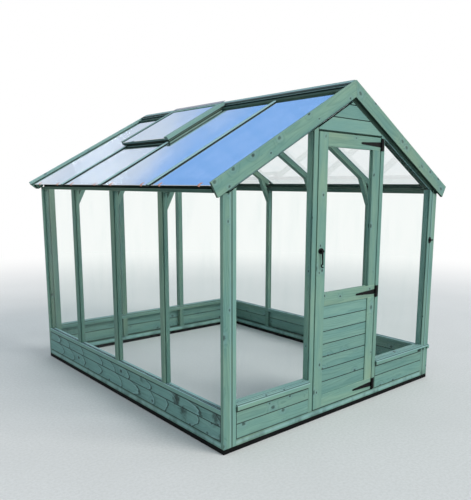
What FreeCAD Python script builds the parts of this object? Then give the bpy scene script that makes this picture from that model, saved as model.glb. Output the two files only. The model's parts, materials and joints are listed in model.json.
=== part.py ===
import FreeCAD, Part
import math
import os
import re
import sys

import Sketcher

# An apex greenhouse in timber: X runs across the gables, Y along the ridge,
# Z is up, and the door gable faces -Y. All lengths are millimetres.
doc = FreeCAD.newDocument("Greenhouse")
sheet = doc.addObject("Spreadsheet::Sheet", "Sizes")

# Driving sizes. Depths and offsets named "below" are measured square to the
# roof from the plane of the bar tops, downwards.
driving = {
    "house_width": 2090,
    "house_length": 2540,
    "bay_count": 4,
    "roof_pitch": 29.8,
    "slope_length": 1302,
    "pane_setback": 22,
    "bearer_height": 30,
    "bearer_width": 45,
    "rail_height": 40,
    "rail_width": 45,
    "low_board_height": 92,
    "high_board_height": 85,
    "board_thickness": 12,
    "sill_front_height": 28,
    "sill_height": 41,
    "sill_nose": 15,
    "side_sill_nose": 2,
    "side_sill_drop": 12,
    "side_sill_height": 27,
    "sill_groove_inset": 5,
    "sill_groove_width": 4,
    "sill_groove_depth": 2,
    "horn_thickness": 12,
    "horn_recess": 72,
    "horn_block_inner": 18,
    "horn_block_width": 15,
    "horn_end_block": 25,
    "wall_depth": 45,
    "side_cover": 10,
    "side_slot": 6,
    "post_height": 1194,
    "post_width": 45,
    "cover_width": 42,
    "tongue_width": 8,
    "pane_gap": 12,
    "pane_top_play": 2,
    "pane_end_play": 1,
    "end_post_width": 20,
    "gable_depth": 58,
    "gable_cover": 8,
    "gable_slot": 7,
    "slot_depth": 12,
    "glass_thickness": 4,
    "glass_bite": 10,
    "stile_width": 48,
    "strip_width": 54,
    "strip_depth": 28,
    "top_rail_height": 30,
    "top_rail_face": 20,
    "neck_height": 10,
    "neck_outer_step": 25,
    "neck_inner_step": 10,
    "eaves_height": 33.6,
    "eaves_width": 45,
    "eaves_setback": 5,
    "jamb_width": 36,
    "back_post_centre": 325,
    "glass_below": 14,
    "rafter_depth": 38,
    "verge_depth": 42,
    "raking_depth": 38,
    "gable_pane_lap": 20,
    "ridge_block": 85,
    "ridge_lip": 105,
    "ridge_play": 2,
    "barge_above": 15,
    "barge_below": 77,
    "back_barge_below": 60,
    "back_barge_lip": 8,
    "barge_thickness": 18,
    "barge_gap": 4,
    "verge_width": 45,
    "capping_width": 25,
    "roof_pane_gap": 6,
    "roof_pane_edge": 2,
    "ridge_cap_width": 58,
    "ridge_cap_top": 17,
    "ridge_cap_lift": 4,
    "ridge_cap_step": 40,
    "brace_foot_drop": 110,
    "brace_foot_face": 68,
    "brace_head_reach": 115,
    "brace_head_face": 52,
    "door_half_width": 305,
    "door_side_gap": 9,
    "door_bottom_gap": 2,
    "door_head_gap": 10,
    "door_thickness": 34,
    "lock_stile_width": 80,
    "hinge_stile_width": 77,
    "door_top_rail_height": 84,
    "door_middle_rail_height": 85,
    "door_bottom_rail_height": 88,
    "door_board_span": 602,
    "door_board_count": 7,
    "door_board_back": 20,
    "door_groove": 8,
    "door_pane_back": 15,
    "groove_play": 0.4,
    "groove_end_play": 1,
    "gable_head_height": 307,
    "head_board_height": 86.5,
    "head_rail_height": 47,
    "stop_lap": 20,
    "stop_gap": 2,
    "hinge_stand_off": 6.5,
    "hinge_barrel": 6,
    "hinge_pin": 4,
    "hinge_side_play": 1.5,
    "running_play": 0.08,
    "leaf_thickness": 3,
    "leaf_lift": 0.5,
    "strap_length": 207,
    "strap_root_half": 16.5,
    "strap_tip_half": 6.5,
    "strap_tip_slope": 8,
    "plate_half_height": 41,
    "plate_width": 24,
    "centre_knuckle_half": 14,
    "knuckle_gap": 1,
    "high_hinge_drop": 46,
    "middle_hinge_rise": 38,
    "low_hinge_rise": 42,
    "screw_radius": 3.5,
    "screw_head": 1.2,
    "plate_screw_near": 12,
    "plate_screw_far": 30,
    "strap_screw_first": 20,
    "strap_screw_pitch": 57,
    "latch_inset": 37,
    "latch_rise": 1050,
    "latch_plate_long": 24.5,
    "latch_plate_short": 18.5,
    "latch_plate_rise": 2,
    "latch_lug": 7,
    "spindle_radius": 4,
    "lever_stand_off": 18,
    "lever_gap": 4,
    "lever_hub": 9,
    "lever_thickness": 6,
    "lever_top_half": 6,
    "lever_foot_width": 7,
    "lever_length": 84,
    "tail_radius": 14,
    "tail_hole": 7.5,
    "tail_tip": 4.2,
    "latch_bar_gap": 4,
    "latch_bar_thickness": 6,
    "latch_bar_half": 7,
    "latch_bar_heel": 12,
    "latch_bar_reach": 44,
    "keeper_thickness": 7,
    "keeper_depth": 16.5,
    "keeper_half": 14,
    "keeper_gap": 1.5,
    "button_inset": 18.5,
    "button_height": 1126.5,
    "button_pin": 3,
    "button_head": 5.5,
    "button_hub": 9,
    "button_thickness": 6,
    "button_arm_length": 34,
    "button_arm_half": 5,
    "button_plate_long": 25,
    "button_plate_short": 18,
    "lid_overlap": 30,
    "lid_low": 670,
    "lid_depth": 32,
    "lid_member": 45,
    "lid_rail": 50,
    "lid_groove": 8,
    "lid_pane_drop": 6,
    "lid_pane_overhang": 3,
    "curb_above": 8,
    "curb_setback": 6,
    "curb_cross": 24,
    "curb_half": 22,
    "curb_packer_edge": 2,
    "trimmer_width": 34,
    "lid_barrel": 4,
    "lid_pin": 2,
    "lid_clearance": 0.5,
    "lid_leaf": 2,
    "vent_hinge_inset": 150,
    "vent_leaf_half": 30,
    "vent_leaf_width": 27,
    "vent_knuckle": 19,
    "vent_knuckle_gap": 1,
    "vent_leaf_gap": 1,
    "strip_lap_up": 20,
    "strip_lap_down": 24,
    "strip_sheet": 2,
}

# Sizes worked out from the driving ones.
derived = {
    "half_width": "house_width / 2",
    "half_length": "house_length / 2",
    "bay": "house_length / bay_count",
    "rail_top": "bearer_height + rail_height",
    "board_joint": "rail_top + low_board_height",
    "sill_underside": "board_joint + high_board_height",
    "sill_front_top": "sill_underside + sill_front_height",
    "sill_top": "sill_underside + sill_height",
    "side_sill_bottom": "sill_underside - side_sill_drop",
    "side_sill_top": "side_sill_bottom + side_sill_height",
    "horn_bottom": "sill_front_top - horn_thickness",
    "side_inner": "half_width - wall_depth",
    "side_slot_outer": "half_width - side_cover",
    "side_slot_inner": "side_slot_outer - side_slot",
    "gable_inner": "half_length - gable_depth",
    "gable_slot_outer": "half_length - gable_cover",
    "gable_slot_inner": "gable_slot_outer - gable_slot",
    "stile_inner": "side_inner - stile_width",
    "strip_inner": "half_width - strip_width",
    "strip_back": "half_length - strip_depth",
    "top_rail_bottom": "sill_top + post_height",
    "eaves_bottom": "top_rail_bottom + top_rail_height + neck_height",
    "eaves_top": "eaves_bottom + eaves_height",
    "eaves_outer": "half_width - eaves_setback",
    "eaves_inner": "eaves_outer - eaves_width",
    "rafter_top_below": "glass_below + glass_thickness",
    "rafter_foot_below": "rafter_top_below + rafter_depth",
    "verge_below": "rafter_top_below + verge_depth",
    "raking_below": "verge_below + raking_depth",
    "gable_pane_below": "verge_below + gable_pane_lap",
    "apex_height": "eaves_top + eaves_outer * tan(roof_pitch) + rafter_top_below / cos(roof_pitch)",
    "pane_end": "slope_length - pane_setback",
    "barge_back": "half_length + barge_gap",
    "barge_front": "barge_back + barge_thickness",
    "jamb_inner": "door_half_width + door_side_gap",
    "jamb_outer": "jamb_inner + jamb_width",
    "head_bottom": "apex_height - gable_head_height",
    "door_top": "head_bottom - door_head_gap",
    "door_bottom": "rail_top + door_bottom_gap",
    "door_back": "half_length - door_thickness",
    "door_bottom_top": "door_bottom + door_bottom_rail_height",
    "door_middle_bottom": "door_bottom_top + door_board_span",
    "door_middle_top": "door_middle_bottom + door_middle_rail_height",
    "door_top_rail_bottom": "door_top - door_top_rail_height",
    "door_board_height": "door_board_span / door_board_count",
    "lock_stile_inner": "lock_stile_width - door_half_width",
    "hinge_stile_inner": "door_half_width - hinge_stile_width",
    "hinge_line": "door_half_width + door_side_gap / 2",
    "hinge_depth": "half_length + hinge_stand_off",
    "leaf_front": "half_length + leaf_thickness",
    "plate_inner": "hinge_line + hinge_barrel + hinge_side_play",
    "plate_outer": "plate_inner + plate_width",
    "strap_root": "door_half_width - knuckle_gap",
    "strap_tip": "strap_root - strap_length",
    "hinge_high": "door_top - high_hinge_drop",
    "hinge_middle": "door_middle_bottom + middle_hinge_rise",
    "hinge_low": "door_bottom + low_hinge_rise",
    "latch_across": "latch_inset - door_half_width",
    "latch_height": "door_bottom + latch_rise",
    "lever_front": "half_length + lever_stand_off",
    "tail_across": "latch_across + spindle_radius",
    "tail_height": "latch_height - lever_length - lever_foot_width",
    "button_across": "side_inner - button_inset",
    "lid_near": "-lid_overlap",
    "lid_far": "bay + lid_overlap",
    "lid_above": "curb_above + lid_depth",
    "curb_low": "lid_low - curb_setback",
    "lid_axis_along": "ridge_cap_width + lid_barrel",
    "lid_axis_above": "ridge_cap_top + lid_leaf + knuckle_gap",
    "lid_high": "lid_axis_along + lid_barrel + lid_clearance",
    "vent_leaf_start": "ridge_cap_width - vent_leaf_gap - vent_leaf_width",
}

for row, name in enumerate(driving, start=1):
    sheet.set("A%d" % row, name)
    sheet.set("B%d" % row, str(driving[name]))
    sheet.setAlias("B%d" % row, name)
for row, name in enumerate(derived, start=len(driving) + 1):
    sheet.set("A%d" % row, name)
    sheet.set("B%d" % row, "=" + derived[name])
    sheet.setAlias("B%d" % row, name)
doc.recompute()

aliases = set(driving) | set(derived)
word = re.compile(r"[a-z][a-z_]+")


def bound(text):
    # Point every size named in an expression at its cell.
    return word.sub(lambda m: "Sizes." + m.group() if m.group() in aliases else m.group(), str(text))


def box(name, x_low, x_high, y_low, y_high, z_low, z_high):
    made = doc.addObject("Part::Box", name)
    made.setExpression("Length", bound("(%s) - (%s)" % (x_high, x_low)))
    made.setExpression("Width", bound("(%s) - (%s)" % (y_high, y_low)))
    made.setExpression("Height", bound("(%s) - (%s)" % (z_high, z_low)))
    made.setExpression("Placement.Base.x", bound(x_low))
    made.setExpression("Placement.Base.y", bound(y_low))
    made.setExpression("Placement.Base.z", bound(z_low))
    return made


def span(sign, near, far):
    # The low and high ends of a span that lies on the + or - side.
    if sign > 0:
        return near, far
    return "-(%s)" % far, "-(%s)" % near


def prism(name, along, outline, low, high):
    # A straight bar: its outline drawn on an origin plane and padded along an axis.
    body = doc.addObject("PartDesign::Body", name)
    role = {"X": "YZ_Plane", "Y": "XZ_Plane", "Z": "XY_Plane"}[along]
    plane = [item for item in body.Origin.OriginFeatures if item.Role == role][0]
    sketch = body.newObject("Sketcher::SketchObject", name + "_outline")
    sketch.AttachmentSupport = [(plane, "")]
    sketch.MapMode = "FlatFace"
    count = len(outline)
    start = []
    for step in range(count):
        turn = math.radians(360 * step / count)
        start.append(FreeCAD.Vector(100 * math.cos(turn), 100 * math.sin(turn), 0))
    for step in range(count):
        sketch.addGeometry(Part.LineSegment(start[step], start[(step + 1) % count]))
    for step in range(count):
        sketch.addConstraint(Sketcher.Constraint("Coincident", step, 2, (step + 1) % count, 1))
    for step, (across, up) in enumerate(outline):
        for kind, text, first in (("DistanceX", across, start[step].x), ("DistanceY", up, start[step].y)):
            number = sketch.addConstraint(Sketcher.Constraint(kind, -1, 1, step, 1, first))
            sketch.setExpression("Constraints[%d]" % number, bound(text))
    if along == "Y":
        sketch.setExpression(".AttachmentOffset.Base.z", bound("-(%s)" % high))
    else:
        sketch.setExpression(".AttachmentOffset.Base.z", bound(low))
    pad = body.newObject("PartDesign::Pad", name + "_pad")
    pad.Profile = sketch
    pad.setExpression("Length", bound("(%s) - (%s)" % (high, low)))
    return body


def rod(name, along, x, y, z, length, radius):
    # A round bar that starts at a point and runs along +X, +Y or +Z.
    made = doc.addObject("Part::Cylinder", name)
    if along == "Y":
        made.Placement = FreeCAD.Placement(FreeCAD.Vector(), FreeCAD.Rotation(FreeCAD.Vector(1, 0, 0), -90))
    made.setExpression("Radius", bound(radius))
    made.setExpression("Height", bound(length))
    made.setExpression("Placement.Base.x", bound(x))
    made.setExpression("Placement.Base.y", bound(y))
    made.setExpression("Placement.Base.z", bound(z))
    return made


def oval(name, long_half, short_half, turn, x, z):
    # A thin oval plate on the face of the door gable.
    ring = doc.addObject("Part::Ellipse", name + "_edge")
    lie = FreeCAD.Rotation(FreeCAD.Vector(1, 0, 0), 90)
    turned = FreeCAD.Rotation(FreeCAD.Vector(0, 0, 1), turn)
    ring.Placement = FreeCAD.Placement(FreeCAD.Vector(), lie * turned)
    ring.setExpression("MajorRadius", bound(long_half))
    ring.setExpression("MinorRadius", bound(short_half))
    ring.setExpression("Placement.Base.x", bound(x))
    ring.setExpression("Placement.Base.y", bound("-half_length"))
    ring.setExpression("Placement.Base.z", bound(z))
    made = doc.addObject("Part::Extrusion", name)
    made.Base = ring
    made.DirMode = "Custom"
    made.Dir = FreeCAD.Vector(0, -1, 0)
    made.Solid = True
    made.setExpression("LengthFwd", bound("leaf_thickness"))
    return made


def cut(name, base, tool):
    made = doc.addObject("Part::Cut", name)
    made.Base = base
    made.Tool = tool
    return made


def common(name, base, tool):
    made = doc.addObject("Part::Common", name)
    made.Base = base
    made.Tool = tool
    return made


def fuse(name, pieces):
    made = doc.addObject("Part::MultiFuse", name)
    made.Shapes = pieces
    return made


nodes = []


def node(name, pieces):
    # One sub-part of the assembly: a single solid, or a set of like solids.
    if len(pieces) == 1:
        made = pieces[0]
    else:
        made = doc.addObject("Part::Compound", name + "_set")
        made.Links = pieces
    made.Label = name
    nodes.append(made)
    return made


def slope_point(side, along, below):
    # A point on a roof slope: so far down from the apex, so far below the bar tops.
    across = "%d * ((%s) * cos(roof_pitch) - (%s) * sin(roof_pitch))" % (side, along, below)
    up = "apex_height - (%s) * sin(roof_pitch) - (%s) * cos(roof_pitch)" % (along, below)
    return across, up


def under_slope(side, across, below):
    # The point straight under a given distance from the ridge.
    up = "apex_height - (%s) * tan(roof_pitch) - (%s) / cos(roof_pitch)" % (across, below)
    return "%d * (%s)" % (side, across), up


def slope_bar(name, side, u_low, u_high, top, bottom, y_low, y_high):
    outline = [
        slope_point(side, u_low, top),
        slope_point(side, u_high, top),
        slope_point(side, u_high, bottom),
        slope_point(side, u_low, bottom),
    ]
    return prism(name, "Y", outline, y_low, y_high)


def under_roof(name, below):
    # Everything inside the house up to a plane parallel to both slopes.
    outline = [
        ("-house_width", "0"),
        ("house_width", "0"),
        under_slope(1, "house_width", below),
        under_slope(1, "0", below),
        under_slope(-1, "house_width", below),
    ]
    return prism(name, "Y", outline, "-house_length", "house_length")


sides = ((-1, "left"), (1, "right"))
ends = ((-1, "front"), (1, "back"))
bar_lines = (-1, 0, 1)

# Base bearers lie on the ground, butted between the two long ones.
bearers = []
for side, word_side in sides:
    x_low, x_high = span(side, "half_width - bearer_width", "half_width")
    bearers.append(box("bearer_" + word_side, x_low, x_high,
                       "-half_length", "half_length", "0", "bearer_height"))
for end, word_end in ends:
    y_low, y_high = span(end, "half_length - bearer_width", "half_length")
    bearers.append(box("bearer_" + word_end, "bearer_width - half_width", "half_width - bearer_width",
                       y_low, y_high, "0", "bearer_height"))
node("base_bearers", bearers)

# Bottom rails; the front one runs on under the door as its threshold.
rails = []
for side, word_side in sides:
    x_low, x_high = span(side, "half_width - rail_width", "half_width")
    rails.append(box("rail_" + word_side, x_low, x_high,
                     "-strip_back", "strip_back", "bearer_height", "rail_top"))
for end, word_end in ends:
    y_low, y_high = span(end, "half_length - rail_width", "half_length")
    rails.append(box("rail_" + word_end, "-stile_inner", "stile_inner", y_low, y_high,
                     "bearer_height", "rail_top"))
node("bottom_rails", rails)

# Two boards close each wall between the bottom rail and the sill.
side_courses = (("low", "rail_top", "board_joint"), ("high", "board_joint", "side_sill_bottom"))
for side, word_side in sides:
    boards = []
    for course, z_low, z_high in side_courses:
        x_low, x_high = span(side, "half_width - board_thickness", "half_width")
        boards.append(box("board_%s_%s" % (word_side, course), x_low, x_high,
                          "-strip_back", "strip_back", z_low, z_high))
    node(word_side + "_wall_boards", boards)
courses = (("low", "rail_top", "board_joint"), ("high", "board_joint", "sill_underside"))
boards = []
for course, z_low, z_high in courses:
    boards.append(box("board_back_" + course, "-stile_inner", "stile_inner",
                      "half_length - board_thickness", "half_length", z_low, z_high))
node("back_wall_boards", boards)
boards = []
for side, word_side in sides:
    for course, z_low, z_high in courses:
        x_low, x_high = span(side, "jamb_outer", "stile_inner")
        boards.append(box("board_front_%s_%s" % (word_side, course), x_low, x_high,
                          "-half_length", "board_thickness - half_length", z_low, z_high))
node("front_wall_boards", boards)

# Side sills lie almost flush with the boards, lower than the gable sills: flat on
# top, with a drip groove along the outer edge.
for side, word_side in sides:
    face = "%d * (half_width + side_sill_nose)" % side
    groove_near = "%d * (half_width - sill_groove_inset)" % side
    groove_far = "%d * (half_width - sill_groove_inset - sill_groove_width)" % side
    node(word_side + "_sill", [prism("sill_" + word_side, "Y", [
        (face, "side_sill_bottom"),
        (face, "side_sill_top"),
        (groove_near, "side_sill_top"),
        (groove_near, "side_sill_top - sill_groove_depth"),
        (groove_far, "side_sill_top - sill_groove_depth"),
        (groove_far, "side_sill_top"),
        ("%d * side_inner" % side, "side_sill_top"),
        ("%d * side_inner" % side, "side_sill_bottom"),
    ], "-strip_back", "strip_back")])


# Gable sills project past the wall face and slope to shed water.


def gable_sill(name, end, x_low, x_high):
    profile = [
        ("%d * (half_length + sill_nose)" % end, "sill_underside"),
        ("%d * (half_length + sill_nose)" % end, "sill_front_top"),
        ("%d * gable_slot_outer" % end, "sill_top"),
        ("%d * gable_inner" % end, "sill_top"),
        ("%d * gable_inner" % end, "sill_underside"),
    ]
    return prism(name, "X", profile, x_low, x_high)


node("back_sill", [gable_sill("sill_back", 1, "-stile_inner", "stile_inner")])
# The right front sill thins to a plate that runs on over the stile and the corner
# strip, with a recess under it, a small block and a turned-down end block.
horn_top = "sill_front_top + (sill_top - sill_front_top) * sill_nose / (sill_nose + gable_cover)"
horn_plate = prism("horn_plate", "X", [
    ("-half_length - sill_nose", "horn_bottom"),
    ("-half_length - sill_nose", "sill_front_top"),
    ("-half_length", horn_top),
    ("-half_length", "horn_bottom"),
], "stile_inner", "half_width")
horn_block = box("horn_block", "stile_inner + horn_block_inner",
                 "stile_inner + horn_block_inner + horn_block_width",
                 "-half_length - sill_nose", "-half_length", "sill_underside", "horn_bottom")
horn_end = box("horn_end", "half_width - horn_end_block", "half_width",
               "-half_length - sill_nose", "-half_length", "sill_underside", "horn_bottom")
sill_right = cut("sill_front_right_recessed",
                 gable_sill("sill_front_right", -1, "jamb_outer", "stile_inner"),
                 box("horn_hollow", "stile_inner - horn_recess", "stile_inner",
                     "-half_length - sill_nose - 1", "-half_length", "sill_underside - 1", "horn_bottom"))
node("front_sills", [
    gable_sill("sill_front_left", -1, "-stile_inner", "-jamb_outer"),
    fuse("sill_front_right_whole", [sill_right, horn_plate, horn_block, horn_end]),
])

# Side wall posts stand on the sill, with a stud under each and a cover strip outside.
covers = []
for side, word_side in sides:
    posts = []
    x_low, x_high = span(side, "side_inner", "side_slot_inner")
    s_low, s_high = span(side, "side_inner", "half_width - board_thickness")
    for line in bar_lines:
        y_low = "%d * bay - post_width / 2" % line
        y_high = "%d * bay + post_width / 2" % line
        tag = "%s_%d" % (word_side, line + 2)
        posts.append(box("post_" + tag, x_low, x_high, y_low, y_high, "side_sill_top", "top_rail_bottom"))
        posts.append(box("stud_" + tag, s_low, s_high, y_low, y_high, "rail_top", "side_sill_bottom"))
        centre = "%d * bay" % line
        covers.append(prism("cover_" + tag, "Z", [
            ("%d * half_width" % side, centre + " - cover_width / 2"),
            ("%d * half_width" % side, centre + " + cover_width / 2"),
            ("%d * side_slot_outer" % side, centre + " + cover_width / 2"),
            ("%d * side_slot_outer" % side, centre + " + tongue_width / 2"),
            ("%d * side_slot_inner" % side, centre + " + tongue_width / 2"),
            ("%d * side_slot_inner" % side, centre + " - tongue_width / 2"),
            ("%d * side_slot_outer" % side, centre + " - tongue_width / 2"),
            ("%d * side_slot_outer" % side, centre + " - cover_width / 2"),
        ], "side_sill_top", "top_rail_bottom"))
    for end, word_end in ends:
        y_low, y_high = span(end, "strip_back - end_post_width", "strip_back")
        tag = "%s_%s" % (word_side, word_end)
        posts.append(box("end_post_" + tag, x_low, x_high, y_low, y_high,
                         "side_sill_top", "top_rail_bottom"))
        posts.append(box("end_stud_" + tag, s_low, s_high, y_low, y_high,
                         "rail_top", "side_sill_bottom"))
    node(word_side + "_wall_posts", posts)
node("post_cover_strips", covers)

# Side wall panes rest on the sill against the posts.
for side, word_side in sides:
    panes = []
    x_low, x_high = span(side, "side_slot_inner", "side_slot_inner + glass_thickness")
    for line in range(4):
        y_low = "%d * bay + pane_gap / 2" % (line - 2)
        y_high = "%d * bay - pane_gap / 2" % (line - 1)
        if line == 0:
            y_low = "pane_end_play - strip_back"
        if line == 3:
            y_high = "strip_back - pane_end_play"
        panes.append(box("side_pane_%s_%d" % (word_side, line + 1), x_low, x_high, y_low, y_high,
                         "side_sill_top", "top_rail_bottom - pane_top_play"))
    node(word_side + "_wall_glass", panes)

# Wall top rails carry a narrow neck, rebated deeper on the outside, and the eaves
# rails sit on that neck.
top_rails = []
eaves_rails = []
for side, word_side in sides:
    top = "top_rail_bottom + top_rail_height"
    face_top = "top_rail_bottom + top_rail_face"
    top_rails.append(prism("top_rail_" + word_side, "Y", [
        ("%d * half_width" % side, "top_rail_bottom"),
        ("%d * half_width" % side, face_top),
        ("%d * (half_width - neck_outer_step)" % side, face_top),
        ("%d * (half_width - neck_outer_step)" % side, "eaves_bottom"),
        ("%d * (side_inner + neck_inner_step)" % side, "eaves_bottom"),
        ("%d * (side_inner + neck_inner_step)" % side, top),
        ("%d * side_inner" % side, top),
        ("%d * side_inner" % side, "top_rail_bottom"),
    ], "-half_length", "half_length"))
    x_low, x_high = span(side, "eaves_inner", "eaves_outer")
    eaves_rails.append(box("eaves_" + word_side, x_low, x_high, "-barge_back", "barge_back",
                           "eaves_bottom", "eaves_top"))
node("wall_top_rails", top_rails)
node("eaves_rails", eaves_rails)

# Corner cover strips close the outside of the four corners.
strips = []
for side, word_side in sides:
    for end, word_end in ends:
        x_low, x_high = span(side, "strip_inner", "half_width")
        y_low, y_high = span(end, "strip_back", "half_length")
        strips.append(box("corner_%s_%s" % (word_side, word_end), x_low, x_high, y_low, y_high,
                          "bearer_height", "top_rail_bottom"))
node("corner_strips", strips)

# Gable uprights have a glazing groove towards each pane and meet the raking rails.
raking_space = under_roof("under_raking", "raking_below")
pane_space = under_roof("under_pane", "gable_pane_below")


def upright(name, side, end, near, far, groove_near, groove_far, bottom):
    x_near = "%d * (%s)" % (side, near)
    x_far = "%d * (%s)" % (side, far)
    x_near_in = "%d * (%s + slot_depth)" % (side, near)
    x_far_in = "%d * (%s - slot_depth)" % (side, far)
    front = "%d * half_length" % end
    slot_front = "%d * gable_slot_outer" % end
    slot_back = "%d * gable_slot_inner" % end
    inner = "%d * gable_inner" % end
    outline = [(x_far, front), (x_near, front)]
    if groove_near:
        outline += [(x_near, slot_front), (x_near_in, slot_front)]
        outline += [(x_near_in, slot_back), (x_near, slot_back)]
    outline += [(x_near, inner), (x_far, inner)]
    if groove_far:
        outline += [(x_far, slot_back), (x_far_in, slot_back)]
        outline += [(x_far_in, slot_front), (x_far, slot_front)]
    bar = prism(name + "_bar", "Z", outline, bottom, "apex_height")
    return common(name, bar, raking_space)


# The corner stiles are rebated for the corner strips.
for end, word_end in ends:
    stiles = []
    for side, word_side in sides:
        tag = "%s_%s" % (word_end, word_side)
        x_low, x_high = span(side, "strip_inner", "side_inner + 1")
        y_low, y_high = span(end, "strip_back", "half_length + 1")
        stile = upright("stile_whole_" + tag, side, end,
                        "stile_inner", "side_inner", True, False, "bearer_height")
        rebate = box("stile_rebate_" + tag, x_low, x_high, y_low, y_high,
                     "bearer_height - 1", "top_rail_bottom")
        stiles.append(cut("stile_" + tag, stile, rebate))
    node(word_end + "_gable_stiles", stiles)
jambs = []
for side, word_side in sides:
    jambs.append(upright("jamb_" + word_side, side, -1,
                         "jamb_inner", "jamb_outer", False, True, "rail_top"))
node("door_jambs", jambs)
back_posts = []
for side, word_side in sides:
    near = "back_post_centre - post_width / 2"
    far = "back_post_centre + post_width / 2"
    back_posts.append(upright("back_post_" + word_side, side, 1, near, far, True, True, "sill_top"))
    x_low, x_high = span(side, near, far)
    back_posts.append(box("back_stud_" + word_side, x_low, x_high, "gable_inner",
                          "half_length - board_thickness", "rail_top", "sill_underside"))
node("back_gable_posts", back_posts)


def gable_pane(name, end, x_low, x_high):
    y_low, y_high = span(end, "gable_slot_inner", "gable_slot_inner + glass_thickness")
    pane = box(name + "_sheet", x_low, x_high, y_low, y_high, "sill_top", "apex_height")
    return common(name, pane, pane_space)


front_panes = []
back_panes = []
for side, word_side in sides:
    x_low, x_high = span(side, "jamb_outer - glass_bite", "stile_inner + glass_bite")
    front_panes.append(gable_pane("front_pane_" + word_side, -1, x_low, x_high))
    x_low, x_high = span(side, "back_post_centre + post_width / 2 - glass_bite", "stile_inner + glass_bite")
    back_panes.append(gable_pane("back_pane_" + word_side, 1, x_low, x_high))
inner_edge = "back_post_centre - post_width / 2 + glass_bite"
back_panes.append(gable_pane("back_pane_middle", 1, "-(%s)" % inner_edge, inner_edge))
node("front_gable_glass", front_panes)
node("back_gable_glass", back_panes)

# Boards close the gable over the door, with a head rail behind that the door shuts against.
head_boards = []
head_space = sheet.get("gable_head_height") - sheet.get("raking_below")
for step in range(math.ceil(head_space / sheet.get("head_board_height"))):
    whole_board = box("head_board_%d_whole" % (step + 1), "-jamb_inner", "jamb_inner",
                      "-half_length", "-gable_slot_inner",
                      "head_bottom + %d * head_board_height" % step,
                      "head_bottom + %d * head_board_height" % (step + 1))
    head_boards.append(common("head_board_%d" % (step + 1), whole_board, raking_space))
node("gable_head_boards", head_boards)
head_bar = prism("head_bar", "X", [
    ("-gable_slot_inner", "head_bottom"),
    ("-gable_slot_inner", "head_bottom + head_rail_height"),
    ("-gable_inner", "head_bottom + head_rail_height"),
    ("-gable_inner", "head_bottom - stop_lap"),
    ("stop_gap - door_back", "head_bottom - stop_lap"),
    ("stop_gap - door_back", "head_bottom"),
], "-jamb_inner", "jamb_inner")
node("door_head_rail", [common("head_rail", head_bar, raking_space)])

# Roof frame: ridge rails with a lip over the panes, rafters, and rails at the gables.
ridge_rails = []
ridge_boards = []
rafters = []
braces = []
for side, word_side in sides:
    ridge_rails.append(prism("ridge_rail_" + word_side, "Y", [
        under_slope(side, "0", "0"),
        slope_point(side, "ridge_lip", "0"),
        slope_point(side, "ridge_lip", "glass_below"),
        slope_point(side, "ridge_block", "glass_below"),
        slope_point(side, "ridge_block", "verge_below"),
        under_slope(side, "0", "verge_below"),
    ], "-barge_back", "barge_back"))
    ridge_boards.append(prism("ridge_board_" + word_side, "Y", [
        under_slope(side, "0", "-ridge_cap_top"),
        slope_point(side, "ridge_cap_width", "-ridge_cap_top"),
        slope_point(side, "ridge_cap_width", "-ridge_cap_lift"),
        slope_point(side, "ridge_cap_step", "-ridge_cap_lift"),
        slope_point(side, "ridge_cap_step", "0"),
        under_slope(side, "0", "0"),
    ], "-barge_back", "barge_back"))
    for line in bar_lines:
        y_low = "%d * bay - post_width / 2" % line
        y_high = "%d * bay + post_width / 2" % line
        tag = "%s_%d" % (word_side, line + 2)
        rafters.append(prism("rafter_" + tag, "Y", [
            slope_point(side, "ridge_block", "rafter_top_below"),
            under_slope(side, "eaves_inner", "rafter_top_below"),
            under_slope(side, "eaves_inner", "rafter_foot_below"),
            slope_point(side, "ridge_block", "rafter_foot_below"),
        ], y_low, y_high))
        braces.append(prism("brace_" + tag, "Y", [
            ("%d * side_inner" % side, "top_rail_bottom - brace_foot_drop"),
            ("%d * side_inner" % side, "top_rail_bottom - brace_foot_drop + brace_foot_face"),
            under_slope(side, "side_inner - brace_head_reach + brace_head_face", "rafter_foot_below"),
            under_slope(side, "side_inner - brace_head_reach", "rafter_foot_below"),
        ], y_low, y_high))
node("ridge_rails", ridge_rails)
node("ridge_capping_boards", ridge_boards)
node("rafters", rafters)
node("knee_braces", braces)

# Verge rails lie under the roof edges, with short tails past the eaves rails, and the
# bargeboards cover their outer faces.
verges = []
raking_rails = []
for end, word_end in ends:
    barges = []
    for side, word_side in sides:
        tag = "%s_%s" % (word_end, word_side)
        y_low, y_high = span(end, "barge_back - verge_width", "barge_back")
        verges.append(prism("verge_" + tag, "Y", [
            slope_point(side, "ridge_block", "rafter_top_below"),
            under_slope(side, "eaves_inner", "rafter_top_below"),
            under_slope(side, "eaves_inner", "verge_below"),
            slope_point(side, "ridge_block", "verge_below"),
        ], y_low, y_high))
        verges.append(prism("verge_tail_" + tag, "Y", [
            under_slope(side, "eaves_outer", "rafter_top_below"),
            slope_point(side, "pane_end", "rafter_top_below"),
            slope_point(side, "pane_end", "verge_below"),
            under_slope(side, "eaves_outer", "verge_below"),
        ], y_low, y_high))
        y_low, y_high = span(end, "gable_inner", "gable_slot_inner")
        raking_rails.append(prism("raking_" + tag, "Y", [
            under_slope(side, "0", "verge_below"),
            under_slope(side, "eaves_inner", "verge_below"),
            under_slope(side, "eaves_inner", "raking_below"),
            under_slope(side, "0", "raking_below"),
        ], y_low, y_high))
        y_low, y_high = span(end, "barge_back", "barge_front")
        lower_edge = [
            slope_point(side, "slope_length", "barge_below"),
            under_slope(side, "0", "barge_below"),
        ]
        if end > 0:
            lower_edge = [
                slope_point(side, "slope_length", "back_barge_lip"),
                slope_point(side, "pane_end", "back_barge_below"),
                under_slope(side, "0", "back_barge_below"),
            ]
        barges.append(prism("barge_" + tag, "Y", [
            under_slope(side, "0", "-barge_above"),
            slope_point(side, "slope_length", "-barge_above"),
        ] + lower_edge, y_low, y_high))
    node(word_end + "_bargeboards", barges)
node("verge_rails", verges)
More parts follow.
